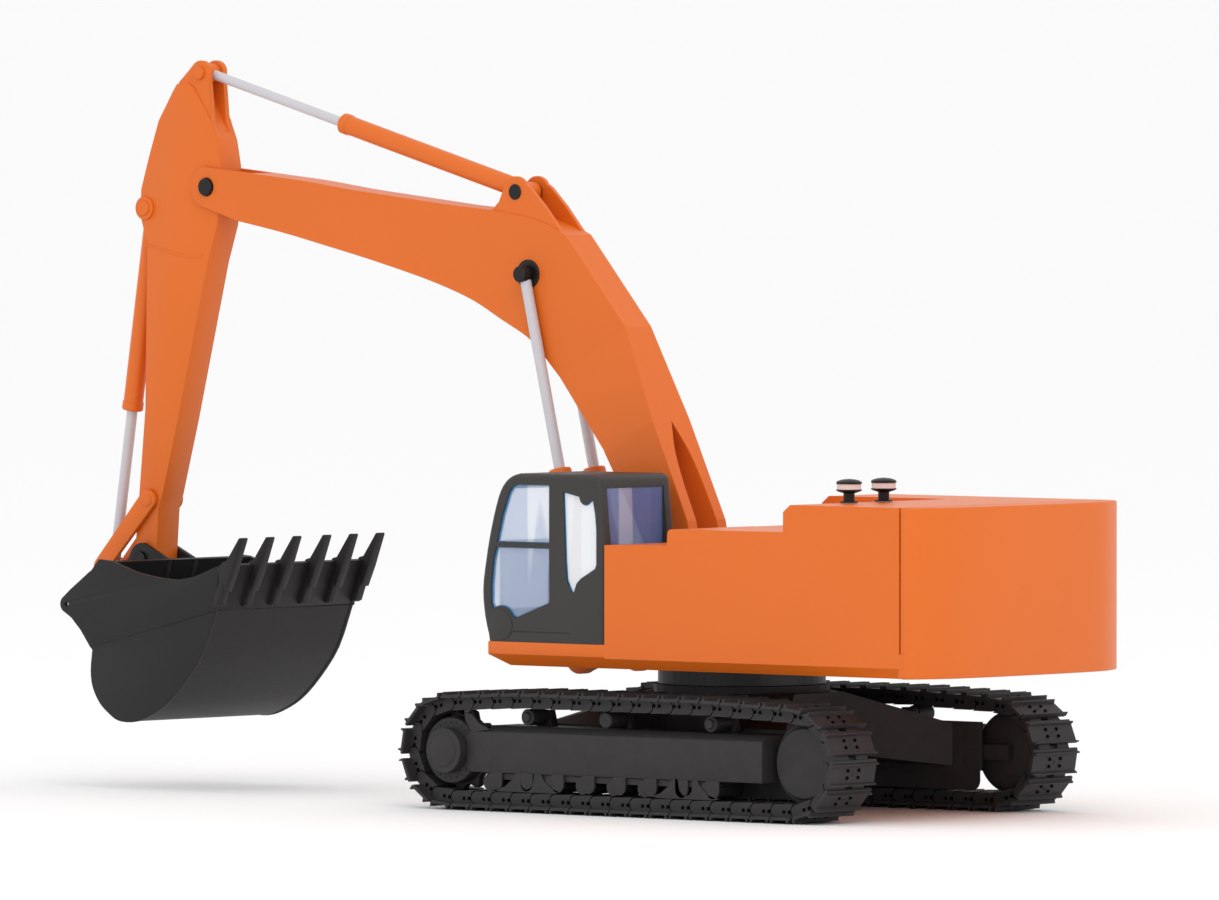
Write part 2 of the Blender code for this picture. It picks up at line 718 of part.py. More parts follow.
def cab_frame():
    """Cab shell with openings for the windows, open below."""
    shell = add_part(
        "cab_frame", "charcoal", side_plate([cab_outline()], CAB_INNER_Y, HOUSE_Y), (60, 57, 88), smooth=False
    )
    inside = [(x, 60.0 if z < 89 else z) for x, z in cab_outline(2.2)]
    cut(shell, side_plate([inside], CAB_INNER_Y + 2.2, HOUSE_Y - 2.2))
    lamp = (92.0, 97.5)
    lower_window = [(58.5, 136.7), (58.5, 108.4), (79.5, 100.8)] + arc(lamp, 8.8, 152, 62, 6) + [
        (97.9, 107.0), (98.3, 116.8), (96.9, 129.8), (94.5, 136.9),
    ]
    upper_window = [(58.5, 139.5), (94.0, 139.3), (90.7, 153.4), (85.9, 165.4), (80.4, 169.4), (58.5, 169.6)]
    door_window = [
        (49.0, 166.2), (38.1, 164.3), (34.0, 161.3), (28.6, 162.4), (26.5, 147.0), (26.5, 128.9),
        (37.4, 121.4), (42.5, 114.3), (47.0, 120.6),
    ]
    for window in (lower_window, upper_window, door_window):
        cut(shell, side_plate([window], HOUSE_Y - 5, HOUSE_Y + 5))
    far_window = [(36, 110), (96, 110), (96, 132), (88, 166), (36, 166)]
    cut(shell, side_plate([far_window], CAB_INNER_Y - 5, CAB_INNER_Y + 5))
    cut(shell, box((CAB_REAR_X - 5, 33.5, 139.5), (CAB_REAR_X + 9, 80.5, 169.5)))
    cut(shell, box((84, 33.0, 104.0), (115, 81.0, 167.0)))


def cab_glazing():
    """One clear insert that lines the cab and closes all its windows."""
    outer = [(x, z if z > 89 else 90.0) for x, z in cab_outline(2.6)]
    insert = add_part(
        "cab_glazing",
        "glass",
        side_plate([outer], CAB_INNER_Y + 2.6, HOUSE_Y - 2.6),
        (60, 57, 90),
        smooth=False,
    )
    inside = [(x, 70.0 if z < 92 else z) for x, z in cab_outline(3.6)]
    cut(insert, side_plate([inside], CAB_INNER_Y + 3.6, HOUSE_Y - 3.6))


def air_intake(name, y):
    """Mushroom-shaped air intake on the rear box."""
    base = COVER_TOP_Z + GAP
    profile = [
        (0, 12.3), (3.6, 11.9), (6.4, 10.6), (6.8, 9.9), (6.4, 9.5), (6.4, 6.8), (6.8, 6.4),
        (5.2, 5.3), (2.9, 4.6), (2.9, 0), (0, 0),
    ]
    mesh = turned(profile, 24, (INTAKE_X, y, base))
    add_part(name, "charcoal", mesh, (INTAKE_X, y, base))


def electrics():
    """Battery pack and radio receiver under the cover."""
    pack = box((-158, -34, 81.3), (-88, 34, 107))
    add_part("battery_pack", "wrap", pack, (-123, 0, 81.3), smooth=False)
    board = box((-66, 34, 81.3), (-36, 66, 86))
    receiver = add_part("receiver_board", "board", board, (-51, 50, 81.3), smooth=False)
    join(receiver, box((-60, 40, 85.5), (-46, 54, 90)), box((-42, 38, 85.5), (-38, 62, 92)))


# ---------------------------------------------------------------- boom


def boom():
    """Cranked box boom: fork at the tip, two legs at the foot, brackets on its back."""
    top = [
        (339.6, 328.8), (297.0, 324.6), (261.7, 320.4), (226.6, 316.4), (191.6, 312.8), (156.8, 309.6),
        (129.2, 304.4), (111.9, 297.7),
    ]
    back = [(70.6, 250.1), (48.8, 202.9), (24.0, 150.0)]
    foot = arc(BOOM_FOOT, 12.0, 170, 330, 9)
    front = [(62.0, 153.0), (82.0, 185.6), (115.4, 222.7)]
    under = [
        (136.1, 242.3), (156.9, 253.1), (177.7, 263.3), (205.6, 272.5), (240.6, 281.5), (275.8, 289.6),
        (311.2, 297.2), (341.1, 302.6),
    ]
    outline = top + back + foot + front + under + arc(STICK_PIVOT, 11.0, -75, 80, 8)
    holes = [circle(BOOM_CYL_ROD, 3.3), circle(BOOM_FOOT, 3.4)]
    body = side_plate([outline] + holes, -BOOM_FOOT_HALF, BOOM_FOOT_HALF)
    arm = add_part("boom", "orange", body, at_y(BOOM_FOOT, 0), smooth=False)
    cut(arm, side_trim(1), side_trim(-1))
    slot = [(334, 340), (334, 300), (336, 290), (395, 290), (395, 340)]
    pin_hole = rod_between(at_y(STICK_PIVOT, -20), at_y(STICK_PIVOT, 20), 4.9, 20)
    cut(arm, side_plate([slot], -EAR_INNER, EAR_INNER), leg_gap(), pin_hole)
    for low, high in ((7.2, 9.8), (-9.8, -7.2)):
        bracket = [(112.0, 293.0), (114.4, 298.3), (127.0, 312.4)] + arc(STICK_CYL_BASE, 8.4, 140, 20, 7) + [
            (162.1, 311.0), (164.0, 304.0),
        ]
        join(arm, side_plate([bracket, circle(STICK_CYL_BASE, 4.5)], low, high))


def side_trim(sign):
    """Cutter that leaves the boom narrow above its knee and lets it widen towards the foot."""
    across = Vector((-math.cos(KNEE_SLANT), 0, math.sin(KNEE_SLANT)))
    down = Vector((-math.sin(KNEE_SLANT), 0, -math.cos(KNEE_SLANT)))
    section = [
        (-400, BOOM_HALF), (0, BOOM_HALF), (52, 15.0), (160, BOOM_FOOT_HALF), (160, 40), (-400, 40),
    ]
    mesh = flat_mesh([[(s, sign * y) for s, y in section]], 600)
    turn = Matrix.Identity(4)
    turn.col[0][:3] = down
    turn.col[1][:3] = (0, 1, 0)
    turn.col[2][:3] = across
    mesh.transform(Matrix.Translation((93 * MM, 0, 236.5 * MM)) @ turn)
    return tidy(mesh)


def leg_gap():
    """Cutter for the gap between the two legs: pointed at its top, full width at the foot."""
    half = [
        (1.1, 198.5), (3.1, 193.0), (5.2, 187.0), (6.7, 179.0), (7.7, 168.5), (8.3, 146.0),
        (BOOM_LEG_INNER, 120.0), (BOOM_LEG_INNER, 90.0),
    ]
    return beam([[(0, 201.3)] + half + [(-y, z) for y, z in reversed(half)]], -30, 120)


def cylinder_barrel(name, base, rod_end, y, length, outer_r, bore_r, eye_half):
    """Barrel of one cylinder: eye at its base, blind bore from its mouth."""
    eye_r = outer_r
    start = at_y(along(base, rod_end, eye_r - 1.0), y)
    end = at_y(along(base, rod_end, length), y)
    eye = side_plate([circle(base, eye_r, 20), circle(base, 2.9, 12)], y - eye_half, y + eye_half)
    barrel = add_part(name, "orange", eye, at_y(base, y))
    join(barrel, rod_between(start, end, outer_r, 24))
    bottom = at_y(along(base, rod_end, eye_r + 4.0), y)
    mouth = at_y(along(base, rod_end, length + 5.0), y)
    cut(barrel, rod_between(bottom, mouth, bore_r, 24))
    cut(barrel, rod_between(at_y(base, y - 9), at_y(base, y + 9), 2.9, 12))


def cylinder_rod(name, base, rod_end, y, inner_end, radius, eye_r, hole_r, eye_half):
    """Bright rod of one cylinder: eye at its outer end, plain inner end inside the barrel."""
    start = at_y(along(base, rod_end, inner_end), y)
    reach = math.dist(base, rod_end) - eye_r + 1.0
    end = at_y(along(base, rod_end, reach), y)
    eye = side_plate([circle(rod_end, eye_r, 20), circle(rod_end, hole_r, 12)], y - eye_half, y + eye_half)
    rod = add_part(name, "chrome", eye, at_y(rod_end, y))
    join(rod, rod_between(start, end, radius, 16))


def boom_cylinders():
    for side, sign in (("left", 1), ("right", -1)):
        y = sign * BOOM_CYL_Y
        cylinder_barrel(
            f"boom_cylinder_barrel_{side}", BOOM_CYL_BASE, BOOM_CYL_ROD, y, BOOM_BARREL_LENGTH,
            BOOM_BARREL_R, BOOM_BORE_R, 5.0,
        )
        cylinder_rod(
            f"boom_cylinder_rod_{side}", BOOM_CYL_BASE, BOOM_CYL_ROD, y, 62.0, BOOM_ROD_R, 5.2, 3.3, 2.6
        )


def pin(name, centre, half, radius, colour="charcoal"):
    """A plain cross pin."""
    add_part(name, colour, rod_between(at_y(centre, -half), at_y(centre, half), radius), at_y(centre, 0))


# ---------------------------------------------------------------- stick


def stick():
    """Tapered box stick: forked top for its cylinder's rod, plain eye at the bucket."""
    front = [
        (379.5, 382.5), (385.6, 377.1), (389.6, 371.5), (399.8, 355.0), (405.5, 340.1), (412.0, 318.0),
    ]
    boss = arc(BUCKET_CYL_BASE, 6.2, 30, -60, 5)
    lower_front = [(408.0, 290.0), (410.0, 201.0), (413.4, 160.0), (417.6, 125.0)]
    bucket_end = arc(BUCKET_PIVOT, 8.0, 5, -185, 9)
    rear = [
        (400.0, 149.0), (397.4, 155.2), (385.9, 196.7), (364.6, 280.4), (357.4, 301.9), (355.4, 320.0),
        (356.0, 334.0), (359.4, 347.0), (362.6, 355.0), (364.4, 376.0),
    ]
    outline = front + boss + lower_front + bucket_end + rear + arc(STICK_CYL_ROD, 7.2, 170, 40, 7)
    holes = [
        circle(STICK_PIVOT, 4.9), circle(STICK_CYL_ROD, 2.9, 12), circle(BUCKET_CYL_BASE, 2.9, 12),
        circle(ROCKER_PIVOT, 2.9, 12), circle(BUCKET_PIVOT, 3.9),
    ]
    arm = add_part(
        "stick", "orange", side_plate([outline] + holes, -STICK_HALF, STICK_HALF), at_y(STICK_PIVOT, 0), False
    )
    top_slot = [(340, 395), (340, 352), (364, 352), (376, 372), (392, 395)]
    front_slot = [(425, 330), (399, 326), (398, 297), (408, 280), (409, 190), (425, 190)]
    cut(arm, side_plate([top_slot], -5.6, 5.6), side_plate([front_slot], -6.0, 6.0))


def stick_cylinder():
    length = math.dist(STICK_CYL_BASE, STICK_CYL_ROD) - STICK_ROD_OUT
    cylinder_barrel(
        "stick_cylinder_barrel", STICK_CYL_BASE, STICK_CYL_ROD, 0, length, STICK_BARREL_R, STICK_BORE_R, 5.6
    )
    cylinder_rod("stick_cylinder_rod", STICK_CYL_BASE, STICK_CYL_ROD, 0, 84.0, STICK_ROD_R, 5.0, 2.9, 4.6)


def bucket_cylinder():
    cylinder_barrel(
        "bucket_cylinder_barrel", BUCKET_CYL_BASE, LINK_PIVOT, 0, 110.0, BUCKET_BARREL_R, BUCKET_BORE_R, 4.8
    )
    cylinder_rod("bucket_cylinder_rod", BUCKET_CYL_BASE, LINK_PIVOT, 0, 70.0, BUCKET_ROD_R, 4.4, 2.9, 3.0)


def rocker_links():
    """Two arms that hinge on the stick and carry the pin at the cylinder's end."""
    for side, sign in (("left", 1), ("right", -1)):
        outline = capsule(ROCKER_PIVOT, LINK_PIVOT, 5.4, LINK_EYE_R)
        holes = [circle(ROCKER_PIVOT, 2.9, 12), circle(LINK_PIVOT, 2.9, 12)]
        low, high = sorted((sign * (STICK_HALF + 0.4), sign * (STICK_HALF + 3.2)))
        mesh = side_plate([outline] + holes, low, high)
        add_part(f"rocker_link_{side}", "orange", mesh, at_y(ROCKER_PIVOT, sign * low))


def bucket_link():
    """Short forked link from the rocker's pin to the bucket."""
    outline = capsule(LINK_PIVOT, BUCKET_LINK_PIVOT, LINK_EYE_R - 0.2, 5.4)
    holes = [circle(LINK_PIVOT, 2.9, 12), circle(BUCKET_LINK_PIVOT, 3.9)]
    mesh = side_plate([outline] + holes, -7.8, 7.8)
    link = add_part("bucket_link", "orange", mesh, at_y(LINK_PIVOT, 0))
    end = along(LINK_PIVOT, BUCKET_LINK_PIVOT, 8.5)
    slot = capsule(along(LINK_PIVOT, BUCKET_LINK_PIVOT, -9.0), end, 6.5, 5.0)
    cut(link, side_plate([slot], -3.6, 3.6))


# ---------------------------------------------------------------- bucket


def shell_line():
    """Outer side view of the bucket's shell, from the lip to the top of its back."""
    belly = (368.5, 74.0)
    curve = arc(belly, 37.6, 188, 345, 14)
    return [(317.9, 97.0)] + [(x, z) for x, z in curve[1:]] + [(400.6, 92.0), (391.4, 121.8)]


def moved_inwards(line, distance):
    """The same open line, moved to the left of its heading."""
    moved = []
    for i, point in enumerate(line):
        before = line[max(i - 1, 0)]
        after = line[min(i + 1, len(line) - 1)]
        heading = Vector((after[0] - before[0], after[1] - before[1])).normalized()
        moved.append((point[0] - heading.y * distance, point[1] + heading.x * distance))
    return moved


def bucket():
    """Open bucket: rolled shell, two side plates and the ears for its two pins."""
    line = shell_line()
    band = line + moved_inwards(line, 2.0)[::-1]
    shell = add_part(
        "bucket",
        "charcoal",
        side_plate([band], 0.8 - BUCKET_HALF, BUCKET_HALF - 0.8),
        at_y(BUCKET_PIVOT, 0),
        smooth=False,
    )
    hook = [(400.9, 122.5), (406.7, 116.0), (421.5, 105.5), (427.6, 100.6), (427.6, 95.4), (420.0, 90.6),
            (413.6, 84.4), (407.0, 75.4)]
    brim = [(391.2, 121.7), (369.0, 115.3), (349.0, 112.9), (327.6, 116.3), (314.0, 121.2), (308.3, 121.2)]
    side = brim + moved_inwards(line[:-2], -0.4) + hook[::-1]
    for low, high in ((BUCKET_HALF - 2.2, BUCKET_HALF), (-BUCKET_HALF, 2.2 - BUCKET_HALF)):
        join(shell, side_plate([side, circle(BUCKET_LINK_PIVOT, 1.5, 10)], low, high))
    ear = [(389.6, 121.0)] + arc(BUCKET_PIVOT, 8.3, 100, 20, 6) + arc(BUCKET_LINK_PIVOT, 6.4, 20, -70, 5) + [
        (403.4, 69.0), (397.6, 90.0),
    ]
    holes = [circle(BUCKET_PIVOT, 3.9), circle(BUCKET_LINK_PIVOT, 2.9, 12)]
    for sign in (1, -1):
        low, high = sorted((sign * (STICK_HALF + 0.5), sign * (STICK_HALF + 3.3)))
        join(shell, side_plate([ear] + holes, low, high))


def cutting_edge():
    """Lip plate between the bucket's sides with its row of teeth; the outer two straddle the sides."""
    plate = [(317.5, 97.8), (308.1, 121.0), (310.3, 121.9), (319.7, 98.7)]
    mesh = side_plate([plate], 2.6 - BUCKET_HALF, BUCKET_HALF - 2.6)
    edge = add_part("cutting_edge", "charcoal", mesh, at_y(BUCKET_PIVOT, 0), smooth=False)
    tooth = [
        (297.2, 135.4), (298.4, 136.1), (307.2, 123.9), (310.8, 122.9), (313.4, 119.6), (313.0, 112.5),
        (318.0, 99.6), (315.4, 98.9), (312.9, 100.5), (310.4, 107.0), (308.8, 107.1), (303.6, 119.0),
    ]
    for y in TOOTH_YS:
        join(edge, side_plate([tooth], y - TOOTH_HALF, y + TOOTH_HALF))
    clearance = [(317.4, 96.0), (307.6, 120.6), (307.6, 121.6), (330, 121.6), (330, 96.0)]
    for low, high in ((BUCKET_HALF - 2.5, BUCKET_HALF + GAP), (-BUCKET_HALF - GAP, 2.5 - BUCKET_HALF)):
        cut(edge, side_plate([clearance], low, high))


def arm_pins():
    """Every cross pin of the arm."""
    pin("boom_foot_pin", BOOM_FOOT, 22.0, 3.1)
    pin("boom_cylinder_base_pin", BOOM_CYL_BASE, 25.2, 2.5)
    pin("boom_rod_pin", BOOM_CYL_ROD, 18.5, 3.0)
    pin("stick_cylinder_pin", STICK_CYL_BASE, 10.6, 2.6)
    pin("stick_pin", STICK_PIVOT, 11.6, 4.6)
    pin("stick_rod_pin", STICK_CYL_ROD, 9.6, 2.5, "orange")
    pin("bucket_cylinder_pin", BUCKET_CYL_BASE, 9.6, 2.5, "orange")
    pin("rocker_pin", ROCKER_PIVOT, STICK_HALF + 4.0, 2.5, "orange")
    pin("linkage_pin", LINK_PIVOT, STICK_HALF + 4.0, 2.5, "orange")
    pin("bucket_pin", BUCKET_PIVOT, STICK_HALF + 4.0, 3.5)
    pin("bucket_link_pin", BUCKET_LINK_PIVOT, STICK_HALF + 4.0, 2.5)


clear_scene()
PARTS = new_collection("rc_excavator")
CUTTERS = new_collection("cutters")
MACHINE = bpy.data.objects.new("machine_frame", None)
PARTS.objects.link(MACHINE)
MACHINE.location = (MODEL_SHIFT * MM, 0, 0)

for track_side, track_sign in (("left", 1), ("right", -1)):
    track_frame(track_side, track_sign)
    chain(track_side, track_sign)
    sprocket(track_side, track_sign)
    idler(track_side, track_sign)
    idler_yoke(track_side, track_sign)
    carrier_rollers(track_side, track_sign)
    track_rollers(track_side, track_sign)
    drive_motor(track_side, track_sign)
carbody()
slew_ring()
slew_pinion()
slew_motor()
house_deck()
body_cover()
counterweight()
cab_frame()
cab_glazing()
air_intake("air_intake_left", INTAKE_YS[0])
air_intake("air_intake_right", INTAKE_YS[1])
electrics()
boom()
boom_cylinders()
stick()
stick_cylinder()
bucket_cylinder()
rocker_links()
bucket_link()
bucket()
cutting_edge()
arm_pins()
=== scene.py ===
"""Looks of the radio-controlled excavator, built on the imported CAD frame.

Lengths are millimetres in the machine's own frame: X forward from the slewing axis, Y to the
operator's left, Z up from the ground. SHIFT puts that frame where the CAD has it.
"""

import json
import math

import bmesh
import bpy
from mathutils import Matrix, Vector


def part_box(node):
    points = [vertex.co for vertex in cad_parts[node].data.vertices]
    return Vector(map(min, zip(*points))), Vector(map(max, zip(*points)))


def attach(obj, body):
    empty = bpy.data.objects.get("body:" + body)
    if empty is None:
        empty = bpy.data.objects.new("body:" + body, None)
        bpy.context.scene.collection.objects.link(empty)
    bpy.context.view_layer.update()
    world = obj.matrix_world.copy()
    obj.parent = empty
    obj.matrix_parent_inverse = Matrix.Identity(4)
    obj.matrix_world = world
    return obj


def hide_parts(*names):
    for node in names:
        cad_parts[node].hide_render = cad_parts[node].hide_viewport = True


MM = 0.001
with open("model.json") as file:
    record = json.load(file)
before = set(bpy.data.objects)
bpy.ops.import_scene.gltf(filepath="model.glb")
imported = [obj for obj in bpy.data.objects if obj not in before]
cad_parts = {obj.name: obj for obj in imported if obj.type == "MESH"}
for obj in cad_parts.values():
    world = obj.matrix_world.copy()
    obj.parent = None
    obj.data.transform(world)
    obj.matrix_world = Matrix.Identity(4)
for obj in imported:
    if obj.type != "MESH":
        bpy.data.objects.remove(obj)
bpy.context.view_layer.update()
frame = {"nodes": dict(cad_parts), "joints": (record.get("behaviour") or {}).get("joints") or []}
JOINTS = {joint["name"]: joint for joint in frame["joints"]}
SHIFT = JOINTS["slew"]["pos_m"][0]


def joint_at(name):
    """The (X, Z) of a joint in the machine's frame."""
    x, _, z = JOINTS[name]["pos_m"]
    return ((x - SHIFT) / MM, z / MM)


def pin_at(node):
    """The (X, Z) of a CAD pin's axis."""
    low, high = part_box(node)
    middle = (low + high) / 2
    return ((middle.x - SHIFT) / MM, middle.z / MM)


def joint_y(name):
    """How far to the left a joint is."""
    return JOINTS[name]["pos_m"][1] / MM


BOOM_FOOT = joint_at("boom_lift")
BOOM_CYL_BASE = joint_at("boom_barrel_left_tilt")
BOOM_CYL_ROD = joint_at("boom_rod_left_tilt")
STICK_PIVOT = joint_at("stick_swing")
STICK_CYL_BASE = joint_at("stick_barrel_tilt")
STICK_CYL_ROD = joint_at("stick_rod_tilt")
BUCKET_CYL_BASE = joint_at("bucket_barrel_tilt")
ROCKER_PIVOT = joint_at("rocker_tilt")
LINK_PIVOT = joint_at("bucket_link_tilt")
BUCKET_PIVOT = joint_at("bucket_curl")
BUCKET_LINK_PIVOT = pin_at("bucket_link_pin")
SPROCKET = joint_at("sprocket_left_spin")
IDLER = joint_at("idler_left_spin")
CARRIERS = [joint_at(f"carrier_left_{i}_spin") for i in (1, 2, 3)]
TRACK_Y = joint_y("sprocket_left_spin")
BOOM_CYL_Y = joint_y("boom_barrel_left_tilt")
SIDES = (("left", 1), ("right", -1))

# Tracks: a link's rails stand RAIL_LOW inside the pins' line and RAIL_HIGH outside it
SHOE_COUNT = 46
SHOE_HALF = 18.0
PIN_LINE_Z = 6.3
PIN_LOOP_R = SPROCKET[1] - PIN_LINE_Z
TOP_RUN_Z = CARRIERS[0][1] + 8.2
RAIL_LOW = -3.6
RAIL_HIGH = 3.4
RAIL_YS = (2.9, 12.2)
SPROCKET_TEETH = 11
TOOTH_TIP_R = 21.8
TOOTH_ROOT_R = 18.6
SPROCKET_TURN = -54
HUB_BOLT_COUNT = 24
HUB_BOLT_R = 14.6
SHOE_BOLTS = [(ahead, y) for ahead in (4.6, 8.4) for y in (-4.4, 4.4)]
SHOE_MARK = [(5.6, 4.5), (5.6, 4.85), (7.6, 4.85), (7.6, 4.5)]
LINK_BOLTS = (0.34, 0.60)
FRAME_REAR_X = -92.4
FRAME_FRONT_X = 94.0
FRAME_OUTER_Y = 94.4
ROLLER_COUNT = 8
FIRST_ROLLER_X = 87.6
ROLLER_STEP = 21.0
HANGER_R = 4.2
GUARD_TOP_Z = 20.4

# House
HOUSE_Y = 85.8
DECK_LOW_Z = 75.2
DECK_MID_Z = 81.0
DECK_TOP_Z = 87.9
DECK_FRONT_X = 100.4
SEAM_X = -176.0
HOOD_TOP_Z = 162.6
HOOD_EDGE_Z = 158.9
NOTCH_X = 66
NOTCH_HALF = 26
BAY_HALF = 21.5
BAY_FRONT_X = 20.9
CAB_INNER_Y = 28.0
CAB_LOW_Z = 88.2
CAB_TOP_Z = 175.2

# Arm
BOOM_HALF = 10.5
BOOM_FOOT_HALF = 15.9
KNEE = (93, 236.5)
KNEE_SLANT = math.radians(29.5)
STICK_HALF = 8.6
BUCKET_HALF = 55.4
LINK_HOLE_R = 3.9
TOOTH_YS = (-55, -33.5, -12, 12, 33.5, 55)

# Finishes
ROUGHNESS_SPREAD = 0.07
BUMP_DEPTH = 0.0006

# Camera
AZIMUTH = math.radians(40.4)
ELEVATION = math.radians(1.65)
CAMERA_DISTANCE = 8564.4
AIM_RIGHT = -68.85
AIM_UP = 186.86
SENSOR_WIDTH = 36.0
LENS = 486.4


# ---- shapes


def finished(work, name):
    """The mesh that a bmesh holds, with its faces turned outwards."""
    bmesh.ops.recalc_face_normals(work, faces=work.faces)
    mesh = bpy.data.meshes.new(name)
    work.to_mesh(mesh)
    work.free()
    return mesh


def cleaned(mesh):
    """The mesh with doubled points merged and its faces turned outwards."""
    work = bmesh.new()
    work.from_mesh(mesh)
    bmesh.ops.remove_doubles(work, verts=work.verts, dist=1e-6)
    return finished(work, mesh.name)


def placed(name, data):
    """A new object in the scene."""
    obj = bpy.data.objects.new(name, data)
    bpy.context.scene.collection.objects.link(obj)
    return obj


def evaluated(data, modifiers=()):
    """The mesh that a curve, or a mesh under modifiers given as (type, settings), comes out as."""
    helper = placed("helper", data)
    for kind, settings in modifiers:
        modifier = helper.modifiers.new(kind, kind)
        for name, value in settings.items():
            setattr(modifier, name, value)
    graph = bpy.context.evaluated_depsgraph_get()
    mesh = bpy.data.meshes.new_from_object(helper.evaluated_get(graph))
    bpy.data.objects.remove(helper, do_unlink=True)
    return mesh


def flat_mesh(loops, thickness):
    """Closed outlines, the later ones holes, filled and given a thickness about z = 0."""
    curve = bpy.data.curves.new("outline", "CURVE")
    curve.dimensions = "2D"
    curve.fill_mode = "BOTH"
    curve.extrude = thickness / 2 * MM
    for loop in loops:
        spline = curve.splines.new("POLY")
        spline.points.add(len(loop) - 1)
        spline.use_cyclic_u = True
        for point, (a, b) in zip(spline.points, loop):
            point.co = (a * MM, b * MM, 0, 1)
    mesh = cleaned(evaluated(curve))
    work = bmesh.new()
    work.from_mesh(mesh)
    flat = math.radians(0.5)
    bmesh.ops.dissolve_limit(work, angle_limit=flat, verts=work.verts, edges=work.edges)
    work.to_mesh(mesh)
    work.free()
    return mesh


def side_plate(loops, y_low, y_high):
    """Outlines in X and Z, made into a plate between two values of Y."""
    mesh = flat_mesh(loops, y_high - y_low)
    middle = Vector((0, (y_low + y_high) / 2 * MM, 0))
    mesh.transform(Matrix.Translation(middle) @ Matrix.Rotation(math.pi / 2, 4, "X"))
    return mesh


def floor_plate(loops, z_low, z_high):
    """Outlines in X and Y, made into a plate between two values of Z."""
    mesh = flat_mesh(loops, z_high - z_low)
    mesh.transform(Matrix.Translation((0, 0, (z_low + z_high) / 2 * MM)))
    return mesh


def beam(loops, x_low, x_high):
    """Outlines in Y and Z, made into a bar between two values of X."""
    mesh = flat_mesh(loops, x_high - x_low)
    turn = Matrix(((0, 0, 1, 0), (1, 0, 0, 0), (0, 1, 0, 0), (0, 0, 0, 1)))
    mesh.transform(Matrix.Translation(((x_low + x_high) / 2 * MM, 0, 0)) @ turn)
    return mesh


def box(low, high):
    """A block between two corners."""
    work = bmesh.new()
    bmesh.ops.create_cube(work, size=1)
    for vert in work.verts:
        for i in range(3):
            vert.co[i] = (low[i] if vert.co[i] < 0 else high[i]) * MM
    return finished(work, "box")


def turned_to(direction):
    """The turn that takes the Z axis to a direction."""
    return Vector(direction).to_track_quat("Z", "Y").to_matrix().to_4x4()


def lathe(profile, start, direction, segments=40):
    """(distance along the axis, radius) steps turned about an axis from start."""
    work = bmesh.new()
    rings = []
    for along_axis, radius in profile:
        spots = circle((0, 0), radius, segments) if radius else [(0, 0)]
        rings.append([work.verts.new((x * MM, y * MM, along_axis * MM)) for x, y in spots])
    for before, after in zip(rings, rings[1:]):
        for i in range(segments):
            j = (i + 1) % segments
            if len(before) == 1:
                work.faces.new((before[0], after[j], after[i]))
            elif len(after) == 1:
                work.faces.new((before[i], before[j], after[0]))
            else:
                work.faces.new((before[i], before[j], after[j], after[i]))
    for ring in (rings[0], rings[-1]):
        if len(ring) > 1:
            work.faces.new(ring)
    mesh = finished(work, "lathe")
    mesh.transform(Matrix.Translation(Vector(start) * MM) @ turned_to(direction))
    return mesh


def bar(start, end, radius, chamfer=0, segments=32):
    """A round bar between two points, with chamfered ends."""
    start, end = Vector(start), Vector(end)
    length = (end - start).length
    profile = [(0, radius), (length, radius)]
    if chamfer:
        mouth = radius - chamfer
        profile = [(0, mouth), (chamfer, radius), (length - chamfer, radius), (length, mouth)]
    return lathe(profile, start, end - start, segments)


def cross_pin(centre, half_length, radius, chamfer=0.3, segments=32):
    """A round pin across the machine, centred on its middle plane."""
    ends = at_y(centre, -half_length), at_y(centre, half_length)
    return bar(*ends, radius, chamfer, segments)


def boolean(mesh, cutters, operation="DIFFERENCE"):
    """The mesh cut by, or joined with, every one of the other meshes."""
    tools = [placed("tool", cutter) for cutter in cutters]
    made = evaluated(mesh, [
        ("BOOLEAN", {"operation": operation, "object": tool, "solver": "EXACT"}) for tool in tools
    ])
    for tool in tools:
        bpy.data.objects.remove(tool, do_unlink=True)
    return made


def rounded(mesh, width, segments=2, angle=35):
    """The mesh with every edge sharper than the angle rounded."""
    return evaluated(mesh, [("BEVEL", {
        "width": width * MM, "segments": segments, "limit_method": "ANGLE",
        "angle_limit": math.radians(angle), "miter_outer": "MITER_ARC",
    })])


def slab(loops, sign, inner, outer, rounding=0):
    """A side plate between two distances from the middle plane, on the side that sign gives."""
    low, high = sorted((sign * inner, sign * outer))
    plate = side_plate(loops, low, high)
    return rounded(plate, rounding) if rounding else plate


def pair(loops, inner, outer, rounding=0):
    """The same side plate on the left and on the right."""
    return [slab(loops, sign, inner, outer, rounding) for sign in (1, -1)]


def boss(steps, centre, sign, inner):
    """A turned boss that stands out from a side face."""
    return lathe(steps, at_y(centre, sign * inner), (0, sign, 0))


def piece(name, body, material, meshes, node=None, angle=38):
    """One visible piece, riding on its body and standing for a CAD node, if any.

    Its shading is sharp above the angle.
    """
    work = bmesh.new()
    for mesh in meshes:
        work.from_mesh(mesh)
    merged = bpy.data.meshes.new(name)
    work.to_mesh(merged)
    work.free()
    merged.transform(Matrix.Translation((SHIFT, 0, 0)))
    merged.materials.append(material)
    merged.shade_smooth()
    merged.set_sharp_from_angle(angle=math.radians(angle))
    obj = placed(name, merged)
    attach(obj, body)
    if node:
        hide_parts(node)


# ---- outlines


def polar(centre, radius, degrees):
    """The point of a circle at an angle."""
    angle = math.radians(degrees)
    return (centre[0] + radius * math.cos(angle), centre[1] + radius * math.sin(angle))


def arc(centre, radius, start, end, count=8):
    """Points on an arc, angles in degrees, both ends included."""
    return [polar(centre, radius, start + (end - start) * i / (count - 1)) for i in range(count)]


def circle(centre, radius, count=32):
    """A closed ring of points."""
    return arc(centre, radius, 0, 360 * (count - 1) / count, count)


